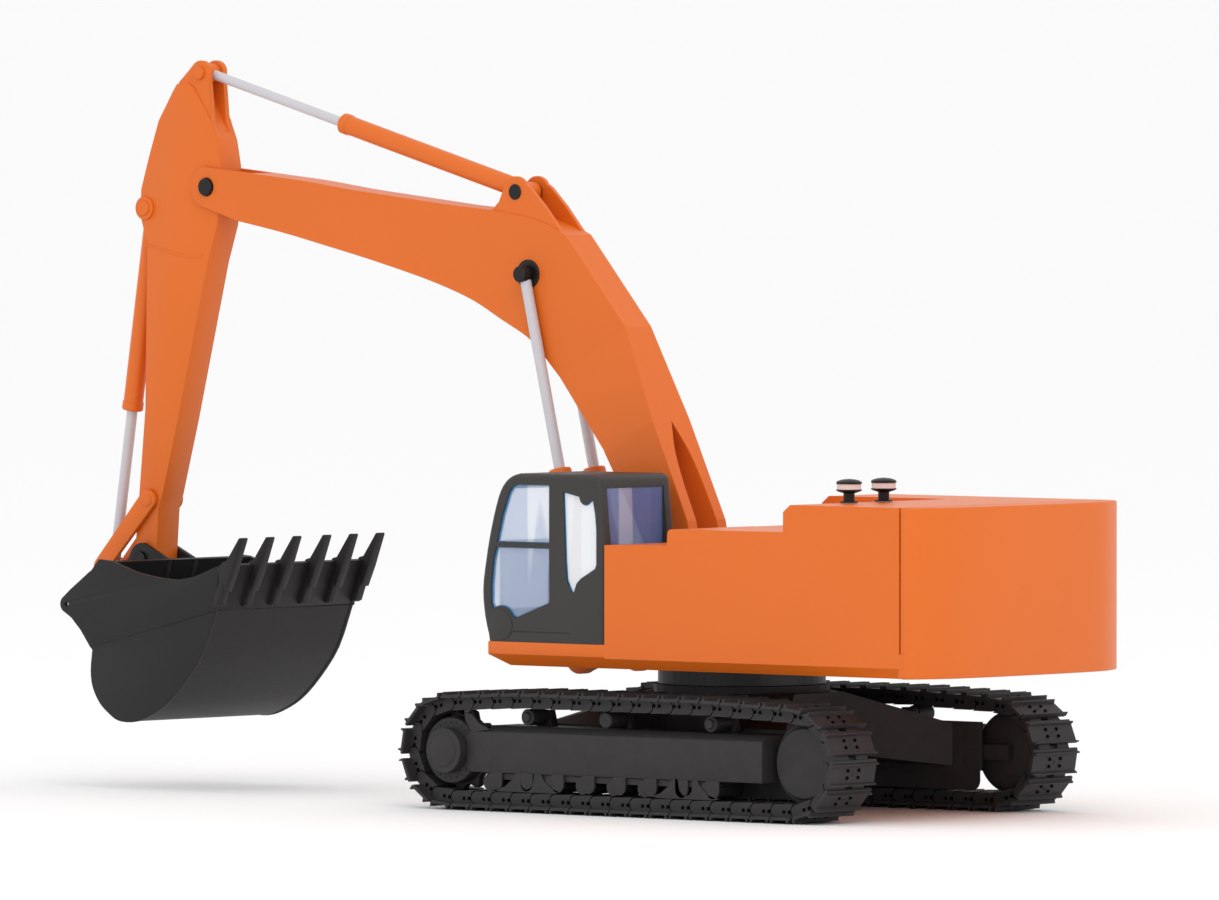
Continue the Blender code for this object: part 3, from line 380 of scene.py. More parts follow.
def capsule(start, end, start_r, end_r):
    """The outline of a bar with a round end of its own radius about each point."""
    heading = math.degrees(math.atan2(end[1] - start[1], end[0] - start[0]))
    near_end = arc(start, start_r, heading + 90, heading + 270, 12)
    return near_end + arc(end, end_r, heading - 90, heading + 90, 12)


def along(start, end, distance):
    """The point that far from start on the way to end."""
    length = math.hypot(end[0] - start[0], end[1] - start[1])
    return tuple(a + (b - a) * distance / length for a, b in zip(start, end))


def at_y(point, y):
    """An (X, Z) point as a place in space."""
    return (point[0], y, point[1])


def smooth_line(points, steps=4):
    """A Catmull-Rom curve through an open row of points."""
    padded = [points[0]] + list(points) + [points[-1]]
    line = []
    for before, start, end, after in zip(padded, padded[1:], padded[2:], padded[3:]):
        for i in range(steps):
            t = i / steps
            spot = []
            for a, b, c, d in zip(before, start, end, after):
                square = (2 * a - 5 * b + 4 * c - d) * t * t
                cube = (3 * b - 3 * c + d - a) * t**3
                spot.append(0.5 * (2 * b + (c - a) * t + square + cube))
            line.append(tuple(spot))
    return line + [points[-1]]


def offset_line(line, distance):
    """The same open line, moved to the left of its heading."""
    moved = []
    for i, point in enumerate(line):
        before, after = line[max(i - 1, 0)], line[min(i + 1, len(line) - 1)]
        heading = Vector((after[0] - before[0], after[1] - before[1])).normalized()
        moved.append((point[0] - heading.y * distance, point[1] + heading.x * distance))
    return moved


# ---- materials


def wire(tree, node, inputs):
    """Links each input that is given a socket, and sets the others."""
    for name, value in inputs.items():
        if isinstance(value, bpy.types.NodeSocket):
            tree.links.new(value, node.inputs[name])
        else:
            node.inputs[name].default_value = value
    return node


def add_node(tree, kind, inputs):
    """A new shader node with its inputs."""
    return wire(tree, tree.nodes.new(f"ShaderNode{kind}"), inputs)


def add_noise(tree, vector, scale, detail):
    """A noise texture's output, between 0 and 1."""
    noise = add_node(tree, "TexNoise", {"Vector": vector, "Scale": scale, "Detail": detail})
    return noise.outputs["Fac"]


def add_range(tree, value, low, high, start=0, end=1):
    """A value that runs from start to end, made to run from low to high."""
    ends = {"From Min": start, "From Max": end, "To Min": low, "To Max": high}
    return add_node(tree, "MapRange", {"Value": value, **ends}).outputs["Result"]


def add_mapping(tree, vector, scale, rotation=(0, 0, 0)):
    """A place in the texture, turned and stretched along each axis."""
    inputs = {"Vector": vector, "Rotation": rotation, "Scale": scale}
    return add_node(tree, "Mapping", inputs).outputs["Vector"]


def add_scratches(tree, vector, height, strength):
    """A height with fine lengthwise streaks added to it."""
    streaks = add_noise(tree, add_mapping(tree, vector, (60, 1400, 60)), 1, 5)
    both = add_node(tree, "Math", {0: streaks, 1: strength, 2: height})
    both.operation = "MULTIPLY_ADD"
    return both.outputs["Value"]


def finish(
    name, colour, roughness, metallic=0, vary=0.06, scale=60, bump=0.02, bump_scale=900,
    scratches=0, shine=0.5,
):
    """A material whose colour, roughness and surface vary finely from place to place."""
    made = bpy.data.materials.new(name)
    made.use_nodes = True
    tree = made.node_tree
    place = add_node(tree, "TexCoord", {}).outputs["Object"]
    shade = add_range(tree, add_noise(tree, place, scale, 4), 1 - vary, 1 + vary)
    tint = add_node(tree, "VectorMath", {0: colour})
    tint.operation = "SCALE"
    wire(tree, tint, {"Scale": shade})
    fine = add_noise(tree, place, bump_scale, 3)
    smoothest = max(0.02, roughness - ROUGHNESS_SPREAD)
    height = add_scratches(tree, place, fine, scratches) if scratches else fine
    relief = add_node(tree, "Bump", {"Strength": bump, "Distance": BUMP_DEPTH, "Height": height})
    wire(tree, tree.nodes["Principled BSDF"], {
        "Base Color": tint.outputs["Vector"],
        "Roughness": add_range(tree, fine, smoothest, roughness + ROUGHNESS_SPREAD),
        "Metallic": metallic,
        "Specular IOR Level": shine,
        "Normal": relief.outputs["Normal"],
    })
    return made


def glass(name, colour, alpha, streak=(0.86, 0.89, 0.95)):
    """Tinted pane crossed by paler upright streaks, as when it mirrors a bright room."""
    made = finish(name, colour, 0.08, vary=0.03, scale=14, bump=0.01, bump_scale=240)
    tree = made.node_tree
    shader = tree.nodes["Principled BSDF"]
    tint = shader.inputs["Base Color"].links[0].from_socket
    place = add_node(tree, "TexCoord", {}).outputs["Object"]
    upright = add_mapping(tree, place, (70, 70, 5), (0.12, 0.12, 0))
    share = add_range(tree, add_noise(tree, upright, 1, 0), 0, 0.75, 0.54, 0.57)
    mix = tree.nodes.new("ShaderNodeMix")
    mix.data_type = "RGBA"
    first, second = [i for i, socket in enumerate(mix.inputs) if socket.type == "RGBA"]
    wire(tree, mix, {0: share, first: tint, second: (*streak, 1)})
    mixed = [socket for socket in mix.outputs if socket.type == "RGBA"]
    wire(tree, shader, {"Alpha": alpha, "Base Color": mixed[0]})
    return made


ORANGE = finish("orange_paint", (0.715, 0.142, 0.010), 0.42, vary=0.03, scale=9, bump=0.04, shine=0.35)
DARK = finish("dark_track_metal", (0.032, 0.030, 0.031), 0.55, vary=0.2, scale=120, bump=0.1, shine=0.25)
BLACK = finish("black_pin_steel", (0.006, 0.006, 0.007), 0.42, vary=0.2, scale=150, bump=0.06, shine=0.3)
# Near-black, dull studs on shoes and links: painted shade where the bolt holes are
BOLT_HOLE_SHADE = finish("bolt_hole_painted_shade", (0.002, 0.002, 0.002), 0.9, vary=0.2, scale=150, shine=0.05)
BUCKET = finish(
    "bucket_metal", (0.016, 0.015, 0.015), 0.5, vary=0.14, scale=40, bump=0.08, scratches=0.5, shine=0.25
)
CAB = finish("cab_plastic", (0.035, 0.032, 0.030), 0.5, scale=30, bump=0.04, shine=0.35)
ROD = finish("bright_rod", (0.56, 0.545, 0.575), 0.34, vary=0.03, scale=40, bump=0.004)
STEEL = finish("dark_steel", (0.035, 0.036, 0.040), 0.45, 0.2, vary=0.12, scale=90, bump=0.05)
GLASS = glass("blue_glass", (0.40, 0.50, 0.70), 0.44)
CLEAR = glass("clear_glass", (0.80, 0.80, 0.82), 0.93)
REAR_GLASS = glass("rear_blue_glass", (0.13, 0.22, 0.50), 0.55, (0.50, 0.55, 0.75))
EDGE = finish("glass_edge", (0.01, 0.20, 0.42), 0.2, vary=0.05, scale=30, bump=0.01)
BAND = finish("intake_band", (0.78, 0.66, 0.64), 0.45, vary=0.03, scale=80, bump=0.03)
WRAP = finish("battery_wrap", (0.04, 0.07, 0.24), 0.4, vary=0.08, scale=50, bump=0.04)
BOARD = finish("circuit_board", (0.02, 0.20, 0.08), 0.5, vary=0.15, scale=200, bump=0.1)


# ---- tracks


def on_pin_circle(centre, angle):
    """A point of the circle that the pins follow round a wheel."""
    return Vector(centre) + PIN_LOOP_R * Vector((math.cos(angle), math.sin(angle)))


def pin_loop():
    """The closed line of the chain's pins, as straight runs and arcs."""

    def tangent(centre, point, side):
        gap = Vector(point) - Vector(centre)
        return math.atan2(gap.y, gap.x) + side * math.acos(PIN_LOOP_R / gap.length)

    top_front = Vector((CARRIERS[0][0], TOP_RUN_Z))
    top_rear = Vector((CARRIERS[-1][0], TOP_RUN_Z))
    front_end = tangent(SPROCKET, top_front, -1)
    rear_start = tangent(IDLER, top_rear, 1)
    return [
        ("line", on_pin_circle(IDLER, -math.pi / 2), on_pin_circle(SPROCKET, -math.pi / 2)),
        ("arc", Vector(SPROCKET), -math.pi / 2, front_end),
        ("line", on_pin_circle(SPROCKET, front_end), top_front), ("line", top_front, top_rear),
        ("line", top_rear, on_pin_circle(IDLER, rear_start)),
        ("arc", Vector(IDLER), rear_start, 3 * math.pi / 2),
    ]


def run_length(run):
    """The length of a straight run or an arc of the pins' line."""
    if run[0] == "line":
        return (run[2] - run[1]).length
    return PIN_LOOP_R * (run[3] - run[2])


def loop_point(runs, distance):
    """The point at a distance round the loop, which starts under the idler."""
    distance %= sum(run_length(run) for run in runs)
    for run in runs:
        length = run_length(run)
        if distance <= length:
            break
        distance -= length
    if run[0] == "line":
        return run[1] + (run[2] - run[1]).normalized() * distance
    return on_pin_circle(run[1], run[2] + distance / PIN_LOOP_R)


def add_prism(work, outline, y_low, y_high):
    """Adds an outline in X and Z, with a thickness along Y, to a bmesh."""
    low = [work.verts.new((x * MM, y_low * MM, z * MM)) for x, z in outline]
    high = [work.verts.new((x * MM, y_high * MM, z * MM)) for x, z in outline]
    work.faces.new(low)
    work.faces.new(high[::-1])
    for i in range(len(outline)):
        j = (i + 1) % len(outline)
        work.faces.new((low[j], low[i], high[i], high[j]))


def add_stud(work, place, direction, radius, height, segments=8):
    """Adds a short round stud, slightly narrower at its top, to a bmesh."""
    move = Matrix.Translation((Vector(place) + Vector(direction) * height / 2) * MM)
    bmesh.ops.create_cone(
        work, cap_ends=True, segments=segments, radius1=radius * MM, radius2=radius * 0.85 * MM,
        depth=height * MM, matrix=move @ turned_to(direction),
    )


def laid(outline, start, heading):
    """Points given along and outwards from the pins' line, put where a shoe starts and heads."""
    outward = Vector((heading.y, -heading.x))
    return [tuple(start + heading * ahead + outward * out) for ahead, out in outline]


def shoe_outline(pitch):
    """Side view of one shoe: a plate with a thin rib near each end and a lip under the next."""
    return [
        (-0.6, 3), (pitch - 1.6, 3), (pitch - 1.6, 3.9), (pitch - 0.9, 3.9), (pitch - 0.9, 6.3),
        (pitch - 1.6, 6.3), (pitch - 2.2, 4.6), (2.3, 4.6), (1.8, 6.3), (1, 6.3), (0.8, 4.6), (-0.6, 4.2),
    ]


def link_outline(pitch):
    """Side view of one link: hollowed where the last link's round end lies, round at its own."""
    hollow = arc((0, 0), 3.95, 60, -64, 9)
    nose = arc((pitch, 0), 3.3, -90, 90, 11)
    return [(2.6, RAIL_HIGH)] + hollow + [(2.6, RAIL_LOW)] + nose + [(pitch - 1, RAIL_HIGH)]


def chain(side, sign):
    """The shoes and links of one track, with near-black studs: painted shade in the bolt holes."""
    runs = pin_loop()
    pitch = sum(run_length(run) for run in runs) / SHOE_COUNT
    middle = sign * TRACK_Y
    shoes, links, bolts = bmesh.new(), bmesh.new(), bmesh.new()
    for i in range(SHOE_COUNT):
        start, end = loop_point(runs, i * pitch), loop_point(runs, (i + 1) * pitch)
        heading = (end - start).normalized()
        chord = (end - start).length
        shoe = laid(shoe_outline(chord), start, heading)
        add_prism(shoes, shoe, middle - SHOE_HALF, middle + SHOE_HALF)
        # Studs at the bolt holes, their near-black colour painted shade
        for ahead, y in SHOE_BOLTS:
            x, z = laid([(ahead, 4.55)], start, heading)[0]
            add_stud(bolts, (x, middle + y, z), (heading.y, 0, -heading.x), 1, 0.8, 6)
        add_prism(shoes, laid(SHOE_MARK, start, heading), middle - 0.35, middle + 0.35)
        for row in (1, -1):
            low, high = sorted((middle + row * RAIL_YS[0], middle + row * RAIL_YS[1]))
            add_prism(links, laid(link_outline(chord), start, heading), low, high)
            face = middle + row * (RAIL_YS[1] - 0.45)
            for share in LINK_BOLTS:
                x, z = laid([(chord * share, 0.5)], start, heading)[0]
                add_stud(bolts, (x, face, z), (0, row, 0), 1.15, 0.7, 10)
        add_stud(links, (start.x, middle - 3.1, start.y), (0, 1, 0), 2.1, 6.2, 12)
    for name, material, work, node in (
        ("track_shoes", DARK, shoes, f"track_chain_{side}"),
        ("track_links", DARK, links, None),
        ("track_bolt_hole_shades", BOLT_HOLE_SHADE, bolts, None),
    ):
        piece(f"{name}_{side}", "undercarriage", material, [finished(work, name)], node)


def gear_outline(teeth, tip, root, centre, turn):
    """Straight-sided teeth, one of them pointing along turn, in degrees."""
    flank = root + 1.2
    corners = ((-0.36, root), (-0.25, flank), (-0.11, tip), (0.11, tip), (0.25, flank), (0.36, root))
    step = 360 / teeth
    return [
        polar(centre, radius, turn + (i + share) * step)
        for i in range(teeth) for share, radius in corners
    ]


HUB_STEPS = [
    (-2.4, 14), (-2.4, 17.2), (10.2, 17.2), (10.8, 16.6), (10.8, 11.8), (16.6, 11.8), (17, 11.4),
    (17, 8.6), (17.4, 8.3), (17.6, 7.9), (17.6, 0),
]
HUBBED_ROLLER = [
    (-6.2, 0), (-6.2, 3.9), (-5.8, 4.3), (6.2, 4.3), (6.6, 3.9), (6.6, 2.7), (7.6, 2.5), (7.9, 2.2),
    (7.9, 0),
]
PLAIN_ROLLER = [(-6.2, 0), (-6.2, 3.9), (-5.8, 4.3), (7.2, 4.3), (7.8, 3.8), (7.8, 0)]
CARRIER_STEPS = (HUBBED_ROLLER, PLAIN_ROLLER, HUBBED_ROLLER)


def idler_steps():
    """Profile of the idler: two treads that the rails run on and a flange between the rails."""
    rim = PIN_LOOP_R + RAIL_LOW - 1.2
    return [
        (-6.2, 0), (-6.2, rim - 1.8), (-4.8, rim), (-2.6, rim), (-2.2, rim + 2), (2.2, rim + 2),
        (2.6, rim), (3.2, rim), (3.2, rim - 0.5), (4.8, rim - 0.5), (6.2, rim - 1.6), (6.2, 0),
    ]


def wheels(side, sign):
    """One track's sprocket with its ring of bolts, its idler and its carrier rollers."""
    middle = sign * TRACK_Y
    out = (0, sign, 0)
    ring = gear_outline(SPROCKET_TEETH, TOOTH_TIP_R, TOOTH_ROOT_R, SPROCKET, SPROCKET_TURN)
    teeth = rounded(side_plate([ring], middle - 2.2, middle + 2.2), 0.4)
    drum = lathe(HUB_STEPS, at_y(SPROCKET, middle), out, 56)
    bolts = bmesh.new()
    for i in range(HUB_BOLT_COUNT):
        x, z = polar(SPROCKET, HUB_BOLT_R, i * 360 / HUB_BOLT_COUNT)
        add_stud(bolts, (x, middle + sign * 10.7, z), out, 0.6, 0.55)
    meshes = [teeth, drum, finished(bolts, "bolts")]
    piece(f"drive_sprocket_{side}", f"sprocket_{side}_body", DARK, meshes, f"sprocket_{side}")
    wheel = lathe(idler_steps(), at_y(IDLER, middle), out, 64)
    piece(f"idler_wheel_{side}", f"idler_{side}_body", DARK, [wheel], f"idler_{side}")
    for i, (place, steps) in enumerate(zip(CARRIERS, CARRIER_STEPS), 1):
        roller = lathe(steps, at_y(place, middle), out, 32)
        node = f"carrier_roller_{side}_{i}"
        piece(f"carrier_wheel_{side}_{i}", f"carrier_{side}_{i}_body", DARK, [roller], node)


# ---- house


def tail_outline():
    """Plan of the counterweight, from its left front corner round the tail."""
    left = [(SEAM_X - 0.6, HOUSE_Y), (-179.6, HOUSE_Y)]
    left += smooth_line([(-183.4, 82.4), (-189.8, 69.4), (-193.3, 55), (-195.2, 27.6), (-195.7, 0)])
    return left + [(x, -y) for x, y in reversed(left[:-1])]


def counterweight():
    """The rounded tail; its seam with the cover is closed near the deck."""
    block = floor_plate([tail_outline()], DECK_LOW_Z, HOOD_TOP_Z)
    meshes = [rounded(block, 1, 3, 50)]
    for sign in (1, -1):
        low_y, high_y = sorted((sign * (HOUSE_Y - 3), sign * (HOUSE_Y - 0.02)))
        meshes.append(box((SEAM_X - 1.6, low_y, 76), (SEAM_X + 0.35, high_y, 88)))
    piece("counterweight_casting", "house", ORANGE, meshes, "counterweight")


def cover():
    """Stepped engine cover: low beside the boom, a middle deck, and full height at the rear."""
    low = DECK_MID_Z - 0.5
    rear_end = [(SEAM_X, HOOD_TOP_Z), (SEAM_X, low)]
    near = [(BAY_FRONT_X, low), (BAY_FRONT_X, 139.3), (-21.4, 140)]
    near += arc((-24.2, 145.8), 2.6, 0, 90, 5)
    near += [(-99.2, 148.6), (-99.2, HOOD_EDGE_Z), (-103.9, HOOD_TOP_Z)] + rear_end
    rear = [(-99.4, low), (-99.4, HOOD_EDGE_Z), (-104.1, HOOD_TOP_Z)] + rear_end
    middle = [(-20, low), (-20, 148), (-101, 148), (-101, low)]
    far = [(-20, low), (-20, HOOD_EDGE_Z), (-24.6, HOOD_TOP_Z), (-110, HOOD_TOP_Z), (-110, low)]
    far_front = [(-21, low), (-21, 139), (BAY_FRONT_X, 139), (BAY_FRONT_X, low)]
    block = boolean(
        side_plate([near], BAY_HALF, HOUSE_Y),
        [
            side_plate([rear], -HOUSE_Y, BAY_HALF + 1),
            side_plate([middle], -42, BAY_HALF + 2),
            side_plate([far], -HOUSE_Y, -41),
            side_plate([far_front], -HOUSE_Y, -BAY_HALF),
        ],
        "UNION",
    )
    piece("engine_cover", "house", ORANGE, [rounded(block, 0.7, 3)], "body_cover")


def notched_floor(front_x, side_y, rear_x):
    """Plan of the deck, cut back at the front between the cab and the right-hand platform."""
    left = [(front_x, side_y), (front_x, NOTCH_HALF), (NOTCH_X, NOTCH_HALF)]
    return left + [(x, -y) for x, y in reversed(left)] + [(rear_x, -side_y), (rear_x, side_y)]


def under_deck():
    """The lower half of the deck, which narrows towards its underside."""
    bevel = 5.5
    outline = notched_floor(DECK_FRONT_X - 11, HOUSE_Y - bevel, SEAM_X)
    plate = floor_plate([outline], DECK_LOW_Z, DECK_MID_Z)
    halfway_z = (DECK_LOW_Z + DECK_MID_Z) / 2 * MM
    for vert in plate.vertices:
        if vert.co.z < halfway_z:
            continue
        if abs(vert.co.y) > (NOTCH_HALF + 1) * MM:
            vert.co.y = math.copysign(HOUSE_Y * MM, vert.co.y)
        if vert.co.x > (NOTCH_X + 1) * MM:
            vert.co.x = DECK_FRONT_X * MM
    return plate


def deck():
    """The deck with the brackets that hold the boom's foot and the boom cylinders' feet."""
    top = floor_plate([notched_floor(DECK_FRONT_X, HOUSE_Y, 20.6)], DECK_MID_Z, DECK_TOP_Z - 0.2)
    meshes = [under_deck(), rounded(top, 0.4)]
    cylinder_foot = [(60, 84), (72, 87.2)] + arc(BOOM_CYL_BASE, 9.2, 75, -125, 18)
    cylinder_foot += [(70, 76.5), (60, 76.5)]
    boom_foot = [(12, 79.5), (46, 79.5), (39, 112)] + arc(BOOM_FOOT, 9.5, 20, 160, 12) + [(17, 112)]
    meshes += pair([cylinder_foot], 19.8, 26.2, 0.5)
    meshes += pair([boom_foot], BOOM_FOOT_HALF + 0.5, BOOM_FOOT_HALF + 5, 0.5)
    piece("deck_plate", "house", ORANGE, meshes, "house_deck")


def cab_outline(foot_z, inset=0):
    """Side view of the cab, or of the room inside its walls, reaching down to a height."""
    front = smooth_line([
        (100.3, CAB_LOW_Z), (103.7, 100), (105.2, 114.6), (103.1, 130), (99.6, 146.4), (94.6, 162.8),
        (90.2, 170.2), (85.2, 173.8), (80, CAB_TOP_Z),
    ], 3)
    outline = front + [(26, CAB_TOP_Z), (24.6, 172), (21.3, 139), (21.3, CAB_LOW_Z)]
    outline = [(x, foot_z if z < CAB_LOW_Z + 1 else z) for x, z in outline]
    return [(x - math.copysign(inset, x - 62), z - inset if z > 165 else z) for x, z in outline]


def cab_windows():
    """The openings of the cab's left side: lower and upper window, and the door's."""
    lower = [(58.5, 136.7), (58.5, 108.4), (81.2, 100.2)] + arc((91.6, 97.2), 8.9, 152, 56, 10)
    lower += [(98.2, 107.6), (98.3, 116.8), (96.9, 129.8), (94.9, 136.7)]
    upper = [
        (58.5, 139.5), (94.3, 139.5), (90.7, 153.4), (86.6, 164), (84.2, 167.8), (80.4, 169.4),
        (58.5, 169.6),
    ]
    door = [(49, 166.2), (38.1, 164)] + arc((34.2, 163.2), 3.4, 10, -170)[1:-1] + [
        (28.8, 162.6), (27.2, 155), (26.4, 147), (26.4, 128.9), (27.4, 126.6), (37, 121.4), (39.8, 119),
        (41.6, 114.6), (42.7, 113.8), (43.8, 114.6), (46.8, 120.6), (47.6, 130),
    ]
    return lower, upper, door


def cab_shell(windows, far_window):
    """The hollow cab with its openings, and a round boss at the foot of the door."""
    block = side_plate([cab_outline(85.2)], CAB_INNER_Y, HOUSE_Y)
    cutters = [side_plate([cab_outline(60, 2.4)], CAB_INNER_Y + 2.2, HOUSE_Y - 2.2)]
    cutters += [side_plate([window], HOUSE_Y - 5, HOUSE_Y + 5) for window in windows]
    cutters.append(side_plate([far_window], CAB_INNER_Y - 5, CAB_INNER_Y + 5))
    rear_opening = box((16, 34.5, 137.5), (30, 80, 168.6))
    front_opening = box((84, 33, 104), (115, 81, 167))
    groove = box((44, HOUSE_Y - 0.5, 92.8), (83, HOUSE_Y + 1, 93.3))
    shell = boolean(rounded(block, 3, 5, 60), cutters + [rear_opening, front_opening, groove])
    disc = side_plate([circle((91.6, 96.2), 7.9)], HOUSE_Y - 0.6, HOUSE_Y + 0.35)
    return [shell, rounded(disc, 0.15)]


def cab():
    """The cab and its panes, each with a blue edge on the left side."""
    windows = cab_windows()
    lower, upper, door = windows
    far_window = [(36, 112), (60, 100), (96, 100), (97.5, 118), (88, 166), (36, 167)]
    meshes = cab_shell(windows, far_window)
    piece("cab_shell", "house", CAB, meshes, "cab_frame")

    low_y, high_y = HOUSE_Y - 2.1, HOUSE_Y - 1.3
    panes = [
        side_plate([lower], low_y, high_y),
        side_plate([upper], low_y, high_y),
        box((96, 33.2, 104.2), (96.6, 80.8, 140)),
        side_plate([far_window], CAB_INNER_Y + 1.2, CAB_INNER_Y + 1.9),
    ]
    piece("cab_window_panes", "house", GLASS, panes, "cab_glazing")
    piece("cab_rear_pane", "house", REAR_GLASS, [box((24.9, 34.7, 137.7), (25.6, 79.8, 168.4))])
    edges = [side_plate([w, shrunk(w, 0.45)], HOUSE_Y - 2.6, HOUSE_Y - 0.9) for w in windows]
    piece("cab_pane_edges", "house", EDGE, edges)
    door_pane = side_plate([door], low_y, high_y)
    piece("cab_door_pane", "house", CLEAR, [door_pane])


def shrunk(outline, distance):
    """A closed outline moved inwards."""
    area = sum(a[0] * b[1] - b[0] * a[1] for a, b in zip(outline, outline[1:] + outline[:1]))
    inwards = math.copysign(distance, area)
    moved = []
    ring = [Vector(point) for point in outline]
    for before, here, after in zip(ring[-1:] + ring, ring, ring[1:] + ring[:1]):
        one, two = (here - before).normalized(), (after - here).normalized()
        normal = (one + two).orthogonal().normalized()
        moved.append(tuple(here + normal * inwards))
    return moved


INTAKE_STEM = [
    (0, 4.6), (0.8, 4.6), (1, 2.9), (4.8, 2.9), (5.6, 5.4), (6.2, 6.6), (6.8, 6.6), (6.8, 0),
]
INTAKE_CAP = [(9.6, 0), (9.6, 6.6), (10.6, 6.6), (11.3, 5.6), (11.9, 3.6)]
INTAKE_BAND = [(6.8, 0), (6.8, 6.2), (9.6, 6.2), (9.6, 0)]


def intakes():
    """Two mushroom-shaped air intakes, each with a pale band between its stem and its cap."""
    upwards = (0, 0, 1)
    for side in ("left", "right"):
        node = f"air_intake_{side}"
        low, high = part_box(node)
        middle = (low + high) / 2
        foot = ((middle.x - SHIFT) / MM, middle.y / MM, low.z / MM)
        cap_top = [(high.z / MM - foot[2], 0)]
        stem = lathe(INTAKE_STEM, foot, upwards)
        cap = lathe(INTAKE_CAP + cap_top, foot, upwards)
        piece(f"intake_cap_{side}", "house", BLACK, [stem, cap], node)
        piece(f"intake_band_{side}", "house", BAND, [lathe(INTAKE_BAND, foot, upwards)])


# ---- boom


ROD_BOSS = [(0, 7.6), (1.2, 7.6), (1.6, 7.2), (1.6, 4.3), (8, 4.2), (8.4, 3.8), (8.4, 0)]


def side_trim(sign):
    """Cutter that leaves the boom narrow above its knee and lets it widen towards the foot."""
    across = Vector((-math.cos(KNEE_SLANT), 0, math.sin(KNEE_SLANT)))
    down = Vector((-math.sin(KNEE_SLANT), 0, -math.cos(KNEE_SLANT)))
    section = [
        (-400, BOOM_HALF), (0, BOOM_HALF), (52, 15), (160, BOOM_FOOT_HALF), (160, 40), (-400, 40),
    ]
    mesh = flat_mesh([[(along_leg, sign * y) for along_leg, y in section]], 600)
    turn = Matrix.Identity(4)
    turn.col[0][:3] = down
    turn.col[1][:3] = (0, 1, 0)
    turn.col[2][:3] = across
    mesh.transform(Matrix.Translation(Vector(at_y(KNEE, 0)) * MM) @ turn)
    return cleaned(mesh)


def leg_gap():
    """Cutter for the gap between the two legs: pointed at its top, widest at the foot."""
    half = [
        (0.5, 199.7), (1.1, 198.2), (3.1, 193), (5.2, 187), (6.7, 179), (7.7, 168.5), (8.3, 146),
        (9, 120), (9, 90),
    ]
    return beam([[(0, 201.3)] + half + [(-y, z) for y, z in reversed(half)]], -30, 120)


def boom_outline():
    """Side view of the boom, from its tip along the top, round the foot and back underneath."""
    top = smooth_line([
        (342, 329.2), (297, 324.8), (261.7, 320.2), (226.6, 316.4), (191.6, 312.7), (156.8, 309.6),
        (129.2, 304.6), (111.9, 297.7),
    ], 6)
    back = [(70.6, 250.1), (48.8, 202.9), (24, 150)]
    foot = arc(BOOM_FOOT, 12, 170, 330, 14)
    front = [(62, 153), (82, 185.6), (115.4, 222.7)]
    under = smooth_line([
        (121, 228.2), (136.1, 242.3), (156.9, 253.1), (177.7, 263.3), (205.6, 272.5), (240.6, 281.5),
        (275.8, 289.6), (311.2, 297.2), (343, 303),
    ], 6)
    return top + back + foot + front + under + arc(STICK_PIVOT, 10.9, -75, 80, 16)


def boom():
    """The boom with its bracket for the stick cylinder, and the pins that it carries."""
    tip_slot = [(334, 345), (333, 318), (334, 290), (395, 290), (395, 345)]
    cutters = [side_trim(1), side_trim(-1), side_plate([tip_slot], -9, 9), leg_gap()]
    cutters.append(cross_pin(STICK_PIVOT, 20, 4.9, 0))
    body = boolean(side_plate([boom_outline()], -BOOM_FOOT_HALF, BOOM_FOOT_HALF), cutters)
    bracket = [(112, 293), (114.4, 298.3), (126.8, 312.4), (137, 322.2)]
    bracket += arc(STICK_CYL_BASE, 8.2, 150, 20, 12) + [(158.6, 314.6), (163.6, 310.2), (168, 304)]
    meshes = [rounded(body, 0.35, angle=40)] + pair([bracket], 7.2, 9.8, 0.3)
    piece("boom_arm", "boom_body", ORANGE, meshes, "boom", angle=4)

    bosses = [boss(ROD_BOSS, BOOM_CYL_ROD, sign, BOOM_HALF - 0.4) for sign in (1, -1)]
    piece("boom_rod_bosses", "boom_body", BLACK, bosses, "boom_rod_pin")
    stick_pin = cross_pin(STICK_PIVOT, 12.2, 4.7, 0.5, 40)
    piece("stick_pivot_pin", "boom_body", BLACK, [stick_pin], "stick_pin")
    heads = cross_pin(STICK_CYL_BASE, 10.6, 4.1, 0.4, 36)
    piece("stick_cylinder_pin_heads", "boom_body", BLACK, [heads], "stick_cylinder_pin")


def tube_steps(span, radius, collar, bore_r):
    """Profile of a barrel: rounded foot, thicker collar at its mouth, and the bore's first 2 mm."""
    collar_r = radius + 0.45
    return [
        (0, radius - 0.6), (0.6, radius), (span - collar, radius), (span - collar + 0.4, collar_r),
        (span - 0.8, collar_r), (span, radius - 0.2), (span, bore_r), (span - 2, bore_r), (span - 2, 0),
    ]


def eye(centre, y, half_width, radius):
    """The round end of a barrel or rod, about its pin."""
    plate = side_plate([circle(centre, radius)], y - half_width, y + half_width)
    return rounded(plate, 0.4)


def cylinder(name, node, y, ends, barrel, rod):
    """An orange barrel with a collar at its mouth, and a bright rod, between two pins.

    eye gives the half width and radius of a round end. length, to the barrel's mouth, and start,
    where the rod begins, are measured from the barrel's pin.
    """
    base, rod_end = ends
    start = at_y(along(base, rod_end, 2), y)
    direction = Vector(at_y(along(base, rod_end, barrel["length"]), y)) - Vector(start)
    steps = tube_steps(direction.length, barrel["radius"], barrel["collar"], rod["radius"] + 0.9)
    meshes = [lathe(steps, start, direction), eye(base, y, *barrel["eye"])]
    piece(f"{name}_tube", barrel["body"], ORANGE, meshes, node)

    inner_end = at_y(along(base, rod_end, rod["start"]), y)
    outer_end = at_y(along(base, rod_end, math.dist(base, rod_end) - 1), y)
    ram = bar(inner_end, outer_end, rod["radius"], 0.3)
    piece(f"{name}_ram", rod["body"], ROD, [ram], node.replace("barrel", "rod"))
    ram_eye = eye(rod_end, y, *rod["eye"])
    piece(f"{name}_ram_eye", rod["body"], rod["eye_material"], [ram_eye])


